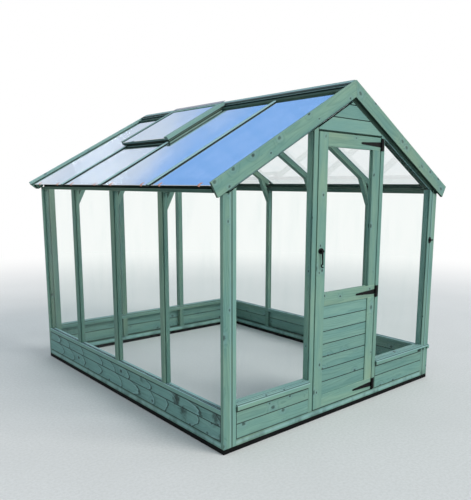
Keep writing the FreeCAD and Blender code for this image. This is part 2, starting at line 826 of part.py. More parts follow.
node("gable_raking_rails", raking_rails)

# Roof panes lie on the rafters; the one under the vent starts below its curb.
cappings = []
for side, word_side in sides:
    panes = []
    for line in range(4):
        y_low = "%d * bay + roof_pane_gap / 2" % (line - 2)
        y_high = "%d * bay - roof_pane_gap / 2" % (line - 1)
        if line == 0:
            y_low = "roof_pane_edge - barge_back"
        if line == 3:
            y_high = "barge_back - roof_pane_edge"
        start = "ridge_block + ridge_play"
        if side < 0 and line == 2:
            start = "curb_low - curb_cross + glass_thickness"
        panes.append(slope_bar("roof_pane_%s_%d" % (word_side, line + 1), side, start, "pane_end",
                               "glass_below", "rafter_top_below", y_low, y_high))
    node(word_side + "_roof_glass", panes)
    for line in bar_lines:
        start = "ridge_lip"
        if side < 0 and line >= 0:
            start = "curb_low"
        cappings.append(slope_bar("capping_%s_%d" % (word_side, line + 2), side, start, "slope_length",
                                  "0", "glass_below", "%d * bay - capping_width / 2" % line,
                                  "%d * bay + capping_width / 2" % line))
node("glazing_bar_cappings", cappings)

# The vent curb stands on the roof over one bay of the left slope.
curb = [
    slope_bar("curb_head", -1, "ridge_cap_width", "ridge_lip", "-curb_above", "0",
              "-curb_half", "bay + curb_half"),
    slope_bar("curb_foot", -1, "curb_low - curb_cross", "curb_low", "-curb_above", "glass_below",
              "curb_half", "bay - curb_half"),
    slope_bar("curb_trimmer", -1, "curb_low - trimmer_width", "curb_low",
              "rafter_top_below", "rafter_foot_below", "post_width / 2", "bay - post_width / 2"),
]
for tag, line, sign in (("near", "0", 1), ("far", "bay", -1)):
    low, high = ("-curb_packer_edge", "curb_half") if sign > 0 else ("-curb_half", "curb_packer_edge")
    curb.append(fuse("curb_side_" + tag, [
        slope_bar("curb_wall_" + tag, -1, "ridge_lip", "curb_low", "-curb_above", "glass_below",
                  line + " - curb_half", line + " + curb_half"),
        slope_bar("curb_packer_" + tag, -1, "ridge_lip", "curb_low - curb_cross",
                  "glass_below", "rafter_top_below",
                  "%s + (%s)" % (line, low), "%s + (%s)" % (line, high)),
    ]))
node("vent_curb", curb)

# The vent lid: three members are grooved for its pane, which laps over the lowest one.
pane_top = "lid_pane_drop - lid_above"
groove = slope_bar("lid_groove_space", -1, "lid_high + lid_rail - lid_groove",
                   "lid_low + lid_pane_overhang",
                   pane_top + " - groove_play / 2", pane_top + " + glass_thickness + groove_play / 2",
                   "lid_near + lid_member - lid_groove", "lid_far - lid_member + lid_groove")
lid_bars = {
    "near": ("lid_high", "lid_low", "lid_near", "lid_near + lid_member"),
    "far": ("lid_high", "lid_low", "lid_far - lid_member", "lid_far"),
    "top": ("lid_high", "lid_high + lid_rail", "lid_near + lid_member", "lid_far - lid_member"),
}
lid_bottom = slope_bar("lid_bar_bottom", -1, "lid_low - lid_rail", "lid_low",
                       pane_top + " + glass_thickness", "-curb_above",
                       "lid_near + lid_member", "lid_far - lid_member")
node("vent_lid_frame", [
    cut("lid_" + tag, slope_bar("lid_bar_" + tag, -1, place[0], place[1], "-lid_above", "-curb_above",
                                place[2], place[3]), groove)
    for tag, place in lid_bars.items()] + [lid_bottom])
node("vent_glass", [slope_bar("lid_pane", -1, "lid_high + lid_rail - lid_groove + groove_end_play",
                              "lid_low + lid_pane_overhang", pane_top, pane_top + " + glass_thickness",
                              "lid_near + lid_member - lid_groove + groove_end_play",
                              "lid_far - lid_member + lid_groove - groove_end_play")])
node("vent_weather_strip", [slope_bar("lid_strip", -1, "lid_high - strip_lap_up",
                                      "lid_high + strip_lap_down", "-lid_above - strip_sheet",
                                      "-lid_above", "lid_near", "lid_far")])

# Two butt hinges: one leaf on the ridge capping, one on the top edge of the lid.
axis_x, axis_z = slope_point(-1, "lid_axis_along", "-lid_axis_above")
fixed_leaves = []
lid_leaves = []
leaf_top = "-ridge_cap_top - lid_leaf"
barrel_clear = "-lid_axis_above - lid_barrel - vent_leaf_gap"
for tag, centre in (("near", "lid_near + vent_hinge_inset"), ("far", "lid_far - vent_hinge_inset")):
    low_end = centre + " - vent_leaf_half"
    high_end = centre + " + vent_leaf_half"
    leaf_end = "vent_leaf_start + vent_leaf_width"
    pieces = [slope_bar("vent_leaf_%s_plate" % tag, -1, "vent_leaf_start", leaf_end,
                        leaf_top, "-ridge_cap_top", low_end, high_end)]
    for mark, start in (("a", low_end), ("b", high_end + " - vent_knuckle")):
        pieces.append(slope_bar("vent_leaf_%s_tab_%s" % (tag, mark), -1, leaf_end, "lid_axis_along",
                                leaf_top, "-ridge_cap_top", start, start + " + vent_knuckle"))
        pieces.append(rod("vent_leaf_%s_barrel_%s" % (tag, mark), "Y", axis_x, start, axis_z,
                          "vent_knuckle", "lid_barrel"))
    pieces.append(rod("vent_leaf_%s_pin" % tag, "Y", axis_x, low_end, axis_z,
                      "2 * vent_leaf_half", "lid_pin"))
    fixed_leaves.append(fuse("vent_leaf_" + tag, pieces))
    middle_low = low_end + " + vent_knuckle + vent_knuckle_gap"
    middle_high = high_end + " - vent_knuckle - vent_knuckle_gap"
    leaf = fuse("lid_leaf_%s_solid" % tag, [
        slope_bar("lid_leaf_%s_plate" % tag, -1, "lid_high - lid_leaf", "lid_high", "lid_leaf - lid_above",
                  barrel_clear, low_end, high_end),
        slope_bar("lid_leaf_%s_tab" % tag, -1, "lid_high - lid_leaf", "lid_high", barrel_clear,
                  "-lid_axis_above", middle_low, middle_high),
        rod("lid_leaf_%s_barrel" % tag, "Y", axis_x, middle_low, axis_z,
            "2 * vent_leaf_half - 2 * vent_knuckle - 2 * vent_knuckle_gap", "lid_barrel"),
    ])
    bore = rod("lid_leaf_%s_bore" % tag, "Y", axis_x, low_end, axis_z, "2 * vent_leaf_half",
               "lid_pin + running_play")
    lid_leaves.append(cut("lid_leaf_" + tag, leaf, bore))
node("vent_fixed_hinge_leaves", fixed_leaves)
node("vent_lid_hinge_leaves", lid_leaves)

# Door frame members are grooved for the pane above and the boards below.
door_grooves = fuse("door_grooves", [
    box("door_pane_groove", "lock_stile_inner - door_groove", "hinge_stile_inner + door_groove",
        "door_pane_back - half_length - groove_play / 2",
        "door_pane_back + glass_thickness - half_length + groove_play / 2",
        "door_middle_top - door_groove", "door_top_rail_bottom + door_groove"),
    box("door_board_groove", "lock_stile_inner - door_groove", "hinge_stile_inner + door_groove",
        "door_board_back - board_thickness - half_length - groove_play / 2",
        "door_board_back - half_length + groove_play / 2",
        "door_bottom_top - door_groove", "door_middle_bottom + door_groove"),
])
spindle_bore = rod("spindle_bore", "Y", "latch_across", "-lever_front", "latch_height",
                   "lever_stand_off + 2 * door_thickness", "spindle_radius + running_play")


def door_member(name, x_low, x_high, z_low, z_high):
    bar = box(name + "_bar", x_low, x_high, "-half_length", "-door_back", z_low, z_high)
    return cut(name, bar, door_grooves)


lock_stile = door_member("lock_stile_grooved", "-door_half_width", "lock_stile_inner",
                         "door_bottom", "door_top")
node("door_lock_stile", [cut("lock_stile", lock_stile, spindle_bore)])
node("door_hinge_stiles", [
    door_member("hinge_stile_high", "hinge_stile_inner", "door_half_width",
                "door_middle_top", "door_top_rail_bottom"),
    door_member("hinge_stile_low", "hinge_stile_inner", "door_half_width",
                "door_bottom_top", "door_middle_bottom"),
])
node("door_top_rail", [door_member("door_rail_top", "lock_stile_inner", "door_half_width",
                                   "door_top_rail_bottom", "door_top")])
node("door_middle_rail", [door_member("door_rail_middle", "lock_stile_inner", "door_half_width",
                                      "door_middle_bottom", "door_middle_top")])
node("door_bottom_rail", [door_member("door_rail_bottom", "lock_stile_inner", "door_half_width",
                                      "door_bottom", "door_bottom_top")])
door_boards = []
for step in range(driving["door_board_count"]):
    z_low = "door_bottom_top + %d * door_board_height" % step
    z_high = "door_bottom_top + %d * door_board_height" % (step + 1)
    if step == 0:
        z_low = "door_bottom_top - door_groove"
    if step == driving["door_board_count"] - 1:
        z_high = "door_middle_bottom + door_groove - groove_end_play"
    door_boards.append(box("door_board_%d" % (step + 1), "lock_stile_inner - door_groove + groove_end_play",
                           "hinge_stile_inner + door_groove - groove_end_play",
                           "door_board_back - board_thickness - half_length",
                           "door_board_back - half_length", z_low, z_high))
node("door_boards", door_boards)
node("door_glass", [box("door_pane", "lock_stile_inner - door_groove + groove_end_play",
                        "hinge_stile_inner + door_groove - groove_end_play",
                        "door_pane_back - half_length", "door_pane_back + glass_thickness - half_length",
                        "door_middle_top - door_groove",
                        "door_top_rail_bottom + door_groove - groove_end_play")])

# Three tee hinges: a plate with the pin on the jamb and a long strap on the door.
plates = []
straps = []
plate_screws = []
strap_screws = []
for tag, height in (("high", "hinge_high"), ("middle", "hinge_middle"), ("low", "hinge_low")):
    pieces = [
        box("plate_leaf_" + tag, "plate_inner", "plate_outer", "-leaf_front", "-half_length",
            height + " - plate_half_height", height + " + plate_half_height"),
        rod("plate_pin_" + tag, "Z", "hinge_line", "-hinge_depth", height + " - plate_half_height",
            "2 * plate_half_height", "hinge_pin"),
    ]
    knuckle = "plate_half_height - centre_knuckle_half - knuckle_gap"
    for mark, low in (("a", " - plate_half_height"), ("b", " + centre_knuckle_half + knuckle_gap")):
        pieces.append(rod("plate_knuckle_%s_%s" % (tag, mark), "Z", "hinge_line", "-hinge_depth",
                          height + low, knuckle, "hinge_barrel"))
        pieces.append(box("plate_tab_%s_%s" % (tag, mark), "hinge_line", "plate_inner", "-leaf_front",
                          "-half_length - leaf_lift", height + low, height + low + " + " + knuckle))
    plates.append(fuse("hinge_plate_" + tag, pieces))
    strap = fuse("strap_solid_" + tag, [
        prism("strap_leaf_" + tag, "Y", [
            ("strap_root", height + " - strap_root_half"),
            ("strap_root", height + " + strap_root_half"),
            ("strap_tip + strap_tip_slope", height + " + strap_tip_half"),
            ("strap_tip", height + " + strap_tip_half / 2"),
            ("strap_tip", height + " - strap_tip_half / 2"),
            ("strap_tip + strap_tip_slope", height + " - strap_tip_half"),
        ], "-leaf_front", "-half_length"),
        box("strap_tab_" + tag, "strap_root", "hinge_line", "-leaf_front", "-half_length - leaf_lift",
            height + " - centre_knuckle_half", height + " + centre_knuckle_half"),
        rod("strap_knuckle_" + tag, "Z", "hinge_line", "-hinge_depth", height + " - centre_knuckle_half",
            "2 * centre_knuckle_half", "hinge_barrel"),
    ])
    bore = rod("strap_bore_" + tag, "Z", "hinge_line", "-hinge_depth", height + " - plate_half_height",
               "2 * plate_half_height", "hinge_pin + running_play")
    straps.append(cut("hinge_strap_" + tag, strap, bore))
    lifts = ("-plate_screw_far", "-plate_screw_near", "plate_screw_near", "plate_screw_far")
    for number, lift in enumerate(lifts):
        plate_screws.append(rod("plate_screw_%s_%d" % (tag, number + 1), "Y",
                                "plate_outer - plate_width / 2",
                                "-leaf_front - screw_head", "%s + (%s)" % (height, lift),
                                "screw_head", "screw_radius"))
    for number in range(4):
        strap_screws.append(rod("strap_screw_%s_%d" % (tag, number + 1), "Y",
                                "strap_root - strap_screw_first - %d * strap_screw_pitch" % number,
                                "-leaf_front - screw_head", height, "screw_head", "screw_radius"))
node("door_hinge_plates", plates)
node("door_hinge_straps", straps)
node("hinge_plate_screws", plate_screws)
node("hinge_strap_screws", strap_screws)

# The latch: an oval plate, a lever with a curled tail on a spindle, and a bar inside.
plate_solid = fuse("latch_plate_solid", [
    oval("latch_oval", "latch_plate_long", "latch_plate_short", 0, "latch_across",
         "latch_height + latch_plate_rise"),
    rod("latch_plate_lug", "Y", "latch_across + latch_plate_long", "-leaf_front",
        "latch_height - latch_plate_rise", "leaf_thickness", "latch_lug"),
])
node("latch_plate", [cut("latch_plate_bored", plate_solid, spindle_bore)])
tail_disc = rod("tail_outer", "Y", "tail_across", "-lever_front", "tail_height",
                "lever_thickness", "tail_radius")
tail_eye = rod("tail_inner", "Y", "tail_across", "-lever_front", "tail_height",
               "lever_thickness", "tail_hole")
ring = cut("tail_ring", tail_disc, tail_eye)
tail = cut("tail_curl", ring, box("tail_open", "tail_across", "tail_across + 2 * tail_radius",
                                 "-lever_front", "-half_length", "tail_height - tail_radius",
                                 "tail_height + tail_radius"))
node("latch_lever", [fuse("lever", [
    rod("lever_spindle", "Y", "latch_across", "-lever_front", "latch_height",
        "lever_stand_off + door_thickness + latch_bar_gap", "spindle_radius"),
    rod("lever_hub", "Y", "latch_across", "-lever_front", "latch_height", "lever_stand_off - lever_gap",
        "lever_hub"),
    prism("lever_arm", "Y", [
        ("latch_across - lever_top_half", "latch_height"),
        ("latch_across + lever_top_half", "latch_height"),
        ("tail_across + spindle_radius", "latch_height - lever_length"),
        ("tail_across + spindle_radius - lever_foot_width", "latch_height - lever_length"),
    ], "-lever_front", "lever_thickness - lever_front"),
    tail,
    rod("tail_end", "Y", "tail_across + tail_tip / 2", "-lever_front",
        "tail_height - tail_radius + tail_tip - knuckle_gap", "lever_thickness", "tail_tip"),
])])
node("latch_bar", [box("latch_bar_solid", "latch_across - latch_bar_half", "latch_across + latch_bar_half",
                       "latch_bar_gap - door_back", "latch_bar_gap + latch_bar_thickness - door_back",
                       "latch_height - latch_bar_heel", "latch_height + latch_bar_reach")])
keeper_back = "latch_bar_gap - keeper_gap - door_back"
node("latch_keeper", [box("keeper", "-jamb_inner", "keeper_thickness - jamb_inner",
                          keeper_back + " - keeper_depth", keeper_back,
                          "latch_height - keeper_half", "latch_height + keeper_half")])

# A turn button on the right corner holds the door back when it stands open.
button_front = "-half_length - 2 * button_thickness"
button_back = "-leaf_front - leaf_lift"
node("button_plate", [fuse("button_plate_solid", [
    oval("button_oval", "button_plate_long", "button_plate_short", 90, "button_across", "button_height"),
    rod("button_pin_shank", "Y", "button_across", button_front, "button_height",
        "2 * button_thickness", "button_pin"),
    rod("button_pin_head", "Y", "button_across", button_front, "button_height",
        "button_thickness / 3", "button_head"),
])])
button_solid = fuse("button_solid", [
    rod("button_hub_round", "Y", "button_across", button_back + " - button_thickness", "button_height",
        "button_thickness", "button_hub"),
    box("button_arm", "button_across", "button_across + button_arm_length",
        button_back + " - button_thickness", button_back,
        "button_height - button_arm_half", "button_height + button_arm_half"),
])
node("turn_button", [cut("button", button_solid, rod("button_bore", "Y", "button_across", button_front,
                                                     "button_height", "2 * button_thickness",
                                                     "button_pin + running_play"))])

doc.recompute()
wrong = []
for item in doc.Objects:
    if "Invalid" in item.State or "Error" in item.State:
        wrong.append(item.Name + " does not compute")
for item in nodes:
    if item.Shape.isNull() or not item.Shape.isValid() or not item.Shape.Solids:
        wrong.append(item.Label + " has no valid solid")
if wrong:
    print("\n".join(wrong))
    sys.exit(1)

os.makedirs("parts", exist_ok=True)
for item in nodes:
    item.Shape.exportStep("parts/%s.step" % item.Label)
print(len(nodes), "nodes,", sum(len(item.Shape.Solids) for item in nodes), "solids")
whole = Part.makeCompound([item.Shape for item in nodes]).BoundBox
print("overall", whole)
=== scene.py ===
import json
import math
import random

import bmesh
import bpy
from mathutils import Matrix, Vector


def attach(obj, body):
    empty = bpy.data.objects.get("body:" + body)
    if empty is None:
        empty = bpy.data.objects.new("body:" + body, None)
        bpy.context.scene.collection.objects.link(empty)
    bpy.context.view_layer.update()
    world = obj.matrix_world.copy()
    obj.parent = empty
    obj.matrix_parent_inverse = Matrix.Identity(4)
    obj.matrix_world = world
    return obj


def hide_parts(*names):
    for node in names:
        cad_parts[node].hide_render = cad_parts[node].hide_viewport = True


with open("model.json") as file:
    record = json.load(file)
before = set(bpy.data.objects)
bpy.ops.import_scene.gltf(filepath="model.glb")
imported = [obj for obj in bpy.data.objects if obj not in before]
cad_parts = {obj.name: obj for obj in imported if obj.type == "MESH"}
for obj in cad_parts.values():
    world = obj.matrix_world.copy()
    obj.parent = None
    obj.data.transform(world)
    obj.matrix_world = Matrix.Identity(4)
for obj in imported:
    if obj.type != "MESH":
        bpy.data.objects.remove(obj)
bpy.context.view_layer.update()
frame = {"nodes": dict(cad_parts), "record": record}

MM = 0.001
RECORD = frame["record"]
BODY_OF = {n: body for body, nodes in RECORD["behaviour"]["bodies"].items() for n in nodes}
SLOT_OF = {part["node"]: part["material_slot"] for part in RECORD["subparts"]}

# The roof's top plane: its height at the middle, and its slope.
APEX = 2.17196
PITCH = math.radians(29.8)

# The photograph's own camera, found from the corners of the greenhouse.
PHOTO_WIDTH = 471
PHOTO_HEIGHT = 500
FOCAL_PIXELS = 559.5
CENTRE_PIXEL_ACROSS = 270.16
CENTRE_PIXEL_DOWN = 284.45
CAMERA_PLACE = Vector((-2.8781, -3.6456, 1.5125))
CAMERA_YAW = 0.7423
CAMERA_PITCH = 0.1706
CAMERA_ROLL = 0.0114
CAMERA_REACH = 200
SENSOR = 36.0


def shade(red, green, blue):
    """A colour as it looks on screen, 0 to 255, turned by the sRGB curve into what shaders take."""
    linear = []
    for part in (red, green, blue):
        part = part / 255
        linear.append(part / 12.92 if part <= 0.04045 else ((part + 0.055) / 1.055) ** 2.4)
    return (*linear, 1.0)


# Shader nodes

def add(tree, kind, inputs=None, **settings):
    """A shader node. Inputs that are sockets are linked, and the others are set."""
    made = tree.nodes.new(kind)
    for name, value in settings.items():
        setattr(made, name, value)
    for name, value in (inputs or {}).items():
        if isinstance(value, bpy.types.NodeSocket):
            tree.links.new(value, made.inputs[name])
        else:
            made.inputs[name].default_value = value
    return made


def sums(tree, operation, *values, clamp=False):
    """One step of arithmetic on numbers or sockets."""
    inputs = dict(enumerate(values))
    return add(tree, "ShaderNodeMath", inputs, operation=operation, use_clamp=clamp).outputs[0]


def object_place(tree):
    """Where a point of the piece lies, in metres."""
    return add(tree, "ShaderNodeTexCoord").outputs["Object"]


def apart(tree, place):
    """The three parts of a place."""
    return add(tree, "ShaderNodeSeparateXYZ", {0: place}).outputs


def spread(tree, place, across):
    """A place with each of its three parts multiplied."""
    step = add(tree, "ShaderNodeVectorMath", {0: place, 1: across}, operation="MULTIPLY")
    return step.outputs[0]


def way_from(tree, start, place):
    """The way from one place to another."""
    step = add(tree, "ShaderNodeVectorMath", {0: place, 1: start}, operation="SUBTRACT")
    return step.outputs[0]


def length(tree, way):
    """How long a way is."""
    return add(tree, "ShaderNodeVectorMath", {0: way}, operation="LENGTH").outputs["Value"]


def noise(tree, place, scale, detail=3.0, rough=0.55):
    """Soft noise from 0 to 1, mostly near a half."""
    inputs = {"Vector": place, "Scale": scale, "Detail": detail, "Roughness": rough}
    return add(tree, "ShaderNodeTexNoise", inputs).outputs["Fac"]


def grained(tree, place, across, detail, rough=0.55):
    """Noise that is finer along some directions than along others."""
    return noise(tree, spread(tree, place, across), 1.0, detail, rough)


def between(tree, value, low, high, start=0.0, end=1.0):
    """A smooth step from start to end, while a number goes from low to high."""
    inputs = {"Value": value, "From Min": low, "From Max": high, "To Min": start, "To Max": end}
    made = add(tree, "ShaderNodeMapRange", inputs, interpolation_type="SMOOTHSTEP")
    return made.outputs["Result"]


def tint(tree, amount, under, over):
    """Two colours mixed by an amount."""
    inputs = {0: amount, 6: under, 7: over}
    return add(tree, "ShaderNodeMix", inputs, data_type="RGBA", clamp_factor=True).outputs[2]


def relieve(tree, skin, height, strength, depth):
    """Fine relief on a shader."""
    bump = add(tree, "ShaderNodeBump", {"Height": height, "Strength": strength, "Distance": depth})
    tree.links.new(bump.outputs[0], skin.inputs["Normal"])


def blank(name):
    """A new material with one Principled shader, which it returns with its tree."""
    material = bpy.data.materials.new(name)
    material.use_nodes = True
    tree = material.node_tree
    return material, tree, tree.nodes["Principled BSDF"]


# Timber. Names that end in SPREAD say how fine a noise is along, across and through a board.
# The ramps that between() takes are four numbers or two: low, high, start and end.

STAIN_LIGHT = shade(137, 172, 150)
STAIN_MIDDLE = shade(112, 155, 143)
STAIN_DEEP = shade(64, 108, 103)
STAIN_WARM = shade(150, 172, 138)
# Dark stain, and also painted shade.
BLACK_STAIN_AND_SHADE = shade(14, 32, 27)
# Painted sky light: the bluish shade of faces lit by the sky alone.
SKY_LIT_SHADE = shade(124, 170, 165)
# Wear on arrises, with a painted highlight.
RUBBED_AND_LIT = shade(160, 188, 164)
KNOT_DARK = shade(20, 34, 28)
# Pale grain round knots and scallops, and painted light on tops and in lines.
PALE_GRAIN_AND_PAINTED_LIGHT = shade(166, 204, 208)
SPLASH = shade(46, 68, 58)

# One cell of this pattern holds one knot or none. Sizes are in metres.
KNOT_SPREAD = (6.2, 10.0, 1.2)
KNOT_SHAPE = (0.75 / KNOT_SPREAD[0], 1 / KNOT_SPREAD[1], 0.0)
KNOT_SCATTER = 0.85
KNOT_LEAST_SIZE = 0.0055
KNOT_MORE_SIZE = 0.008
KNOT_RAG_SPREAD = (90.0, 150.0, 0.0)
KNOT_RAGGED = 0.9
KNOT_SHIFT = 0.45
KNOT_HEART = (0.5, 1.2, 1.0, 0.0)
KNOT_HALO = (1.1, 3.2, 1.0, 0.0)
KNOT_SWELL = (0.6, 4.5, 1.0, 0.0)
KNOT_STRENGTH = (0.0, 1.0, 0.7, 1.0)

RING_PITCH = 0.0062
RING_EDGE = (0.35, 0.95)
RING_SWELL = 0.012
WANDER_SPREAD = (1.1, 7.0, 7.0)
WANDER_ACROSS = 0.055
WANDER_THROUGH = 0.035

# Curved marks: how many to a metre, how far they bend, and how unevenly they fall.
SCALLOP_RATE = 3.9
SCALLOP_BEND = 130.0
SWAY_SPREAD = (3.0, 4.0, 3.0)
SWAY = 1.9
JITTER_SPREAD = (24.0, 50.0, 3.0)
JITTER = 0.20
WORN_SPREAD = (5.0, 12.0, 3.0)
WORN = (0.35, 0.6, 0.5, 1.0)
SCALLOP_START = (0.88, 0.93)
SCALLOP_STOP = (0.985, 1.0, 1.0, 0.0)
SCALLOP_SHADOW = (0.5, 0.93)
RIM_START = (0.0, 0.015)
RIM_STOP = (0.03, 0.10, 1.0, 0.0)

# Dark smudges on the left wall: their middle, how wide they are and how dark.
DARK_PATCHES = (
    ((-1.045, -0.78, 0.205), 0.050, 0.85), ((-1.045, -0.86, 0.135), 0.040, 0.75),
    ((-1.045, -1.20, 0.205), 0.045, 0.7), ((-1.045, -1.235, 0.095), 0.030, 0.6),
    ((-1.045, -0.35, 0.215), 0.030, 0.5),
)
SMUDGE_NOISE = (22.0, 4.0, 0.65)
SMUDGE_SHAPE = (0.0, 1.0, 0.75)
SMUDGE_WAVER = 0.16
SMUDGE_CORE = 0.035
SMUDGE_FADE = 0.09

# In half widths of a line: where it starts to fade, and where it is gone.
LINE_CORE = 0.75
LINE_FADE = 1.25

PATCH_SPREAD = (2.4, 16.0, 16.0)
FIBRE_SPREAD = (9.0, 240.0, 240.0)
FIBRE_ROUGH = 0.65
BROAD_SPREAD = (0.9, 4.0, 4.0)
LIGHT_PATCHES = (0.3, 0.72)
WARM_PATCHES = (0.5, 0.75, 0.0, 0.55)
RUBBED_AND_LIT_PATCHES = (0.35, 0.6, 0.1, 0.6)
CUT_END_FIBRES = (0.2, 0.8, 0.62, 0.9)
SPLASH_SPREAD = (1.0, 1.0, 0.5)
SPLASH_SCALE = 13.0
SPLASH_PATCHES = (0.45, 0.68)
SPLASH_HEIGHT = (0.03, 0.11, 0.5, 0.0)

# How much each thing darkens the stain.
FIBRE_DARK = 0.6
DARK_FROM = -0.25
RING_DARK = 0.2
BOARD_DARK = 0.30
SWELL_DARK = 0.22
SCALLOP_DARK = 0.2

# How strongly each thing shows.
HALO_SHOWS = 0.13
KNOT_SHOWS = 0.88
JOINT_DIRT_AND_SHADE_SHOWS = 0.9
RIM_SHOWS = 0.35

FIBRE_RELIEF = 0.5
RING_RELIEF = -0.35
SCALLOP_RELIEF = -2.0
GRAIN_STRENGTH = 0.45
GRAIN_DEPTH = 0.0012
WOOD_ROUGH = 0.5
FIBRE_ROUGHER = 0.22
EDGE_ROUGHER = 0.1
WOOD_SHINE = (0.1, 0.8, 0.35, 0.05)


def attribute(tree, name):
    """A number written on the mesh."""
    return add(tree, "ShaderNodeAttribute", attribute_name=name).outputs["Fac"]


def knots_in(tree, place, share):
    """Knots, the halo round each and the swell of the grain. Only a share of the cells has one."""
    cells = spread(tree, place, KNOT_SPREAD)
    inputs = {"Vector": cells, "Scale": 1.0, "Randomness": KNOT_SCATTER}
    voronoi = add(tree, "ShaderNodeTexVoronoi", inputs)
    away = way_from(tree, cells, voronoi.outputs["Position"])
    away = length(tree, spread(tree, away, KNOT_SHAPE))
    chance = add(tree, "ShaderNodeSeparateColor", {0: voronoi.outputs["Color"]}).outputs
    there = sums(tree, "LESS_THAN", chance[0], share)
    there = sums(tree, "MULTIPLY", there, attribute(tree, "wide_face"))
    size = sums(tree, "MULTIPLY_ADD", chance[1], KNOT_MORE_SIZE, KNOT_LEAST_SIZE)
    ragged = grained(tree, place, KNOT_RAG_SPREAD, 2.0)
    near = sums(tree, "SUBTRACT", sums(tree, "DIVIDE", away, size), KNOT_SHIFT)
    near = sums(tree, "MULTIPLY_ADD", ragged, KNOT_RAGGED, near)
    knot = sums(tree, "MULTIPLY", between(tree, near, *KNOT_HEART), there)
    knot = sums(tree, "MULTIPLY", knot, between(tree, chance[2], *KNOT_STRENGTH))
    halo = sums(tree, "MULTIPLY", between(tree, near, *KNOT_HALO), there)
    swell = sums(tree, "MULTIPLY", between(tree, near, *KNOT_SWELL), there)
    return knot, halo, swell


def rings_in(tree, place, swell):
    """Growth rings about a heart that wanders along the board, and the height above that heart."""
    wander = grained(tree, place, WANDER_SPREAD, 2.0)
    _, across, through = apart(tree, place)
    height = sums(tree, "MULTIPLY_ADD", wander, WANDER_ACROSS, across)
    depth = sums(tree, "MULTIPLY_ADD", wander, WANDER_THROUGH, through)
    squares = sums(tree, "ADD", sums(tree, "POWER", height, 2.0), sums(tree, "POWER", depth, 2.0))
    reach = sums(tree, "MULTIPLY_ADD", swell, RING_SWELL, sums(tree, "SQRT", squares))
    ring = sums(tree, "FRACT", sums(tree, "DIVIDE", reach, RING_PITCH))
    return between(tree, ring, *RING_EDGE), height


def scallops_in(tree, place, height):
    """Curved marks across a board: the dark crescents, the pale rims and the shadow before each."""
    squared = sums(tree, "POWER", sums(tree, "ABSOLUTE", height), 2.0)
    sway = sums(tree, "MULTIPLY", grained(tree, place, SWAY_SPREAD, 1.0), SWAY)
    sway = sums(tree, "MULTIPLY_ADD", grained(tree, place, JITTER_SPREAD, 3.0), JITTER, sway)
    beat = sums(tree, "MULTIPLY_ADD", squared, -SCALLOP_BEND, sway)
    beat = sums(tree, "MULTIPLY_ADD", apart(tree, place)[0], SCALLOP_RATE, beat)
    beat = sums(tree, "FRACT", beat)
    worn = between(tree, grained(tree, place, WORN_SPREAD, 2.0), *WORN)
    crescent = between(tree, beat, *SCALLOP_START)
    crescent = sums(tree, "MULTIPLY", crescent, between(tree, beat, *SCALLOP_STOP))
    crescent = sums(tree, "MULTIPLY", crescent, worn)
    rim = between(tree, beat, *RIM_START)
    rim = sums(tree, "MULTIPLY", rim, between(tree, beat, *RIM_STOP))
    return crescent, rim, between(tree, beat, *SCALLOP_SHADOW)


def smudged(tree, colour, world):
    """A colour with the dark smudges of the left wall on it."""
    waver = noise(tree, world, *SMUDGE_NOISE)
    for middle, width, strength in DARK_PATCHES:
        away = length(tree, spread(tree, way_from(tree, middle, world), SMUDGE_SHAPE))
        away = sums(tree, "MULTIPLY_ADD", waver, SMUDGE_WAVER, away)
        near = between(tree, away, width + SMUDGE_CORE, width + SMUDGE_FADE, strength, 0.0)
        colour = tint(tree, near, colour, BLACK_STAIN_AND_SHADE)
    return colour


def lined(tree, colour, world, lines):
    """A colour with lines of painted shade on it where their strength is above nought, and of painted
    highlight below.
    """
    aside, _, rise = apart(tree, world)
    aside = sums(tree, "ABSOLUTE", aside)
    drop = sums(tree, "SUBTRACT", APEX, rise)
    below = sums(tree, "MULTIPLY", drop, math.cos(PITCH))
    below = sums(tree, "MULTIPLY_ADD", aside, -math.sin(PITCH), below)
    down = sums(tree, "MULTIPLY", drop, math.sin(PITCH))
    down = sums(tree, "MULTIPLY_ADD", aside, math.cos(PITCH), down)
    measures = {"height": rise, "aside": aside, "below_roof": below, "down_slope": down}
    for measure, middle, half_width, strength in lines:
        off = sums(tree, "ABSOLUTE", sums(tree, "SUBTRACT", measures[measure], middle))
        line = between(tree, off, half_width * LINE_CORE, half_width * LINE_FADE, abs(strength), 0.0)
        colour = tint(tree, line, colour, BLACK_STAIN_AND_SHADE if strength > 0 else PALE_GRAIN_AND_PAINTED_LIGHT)
    return colour


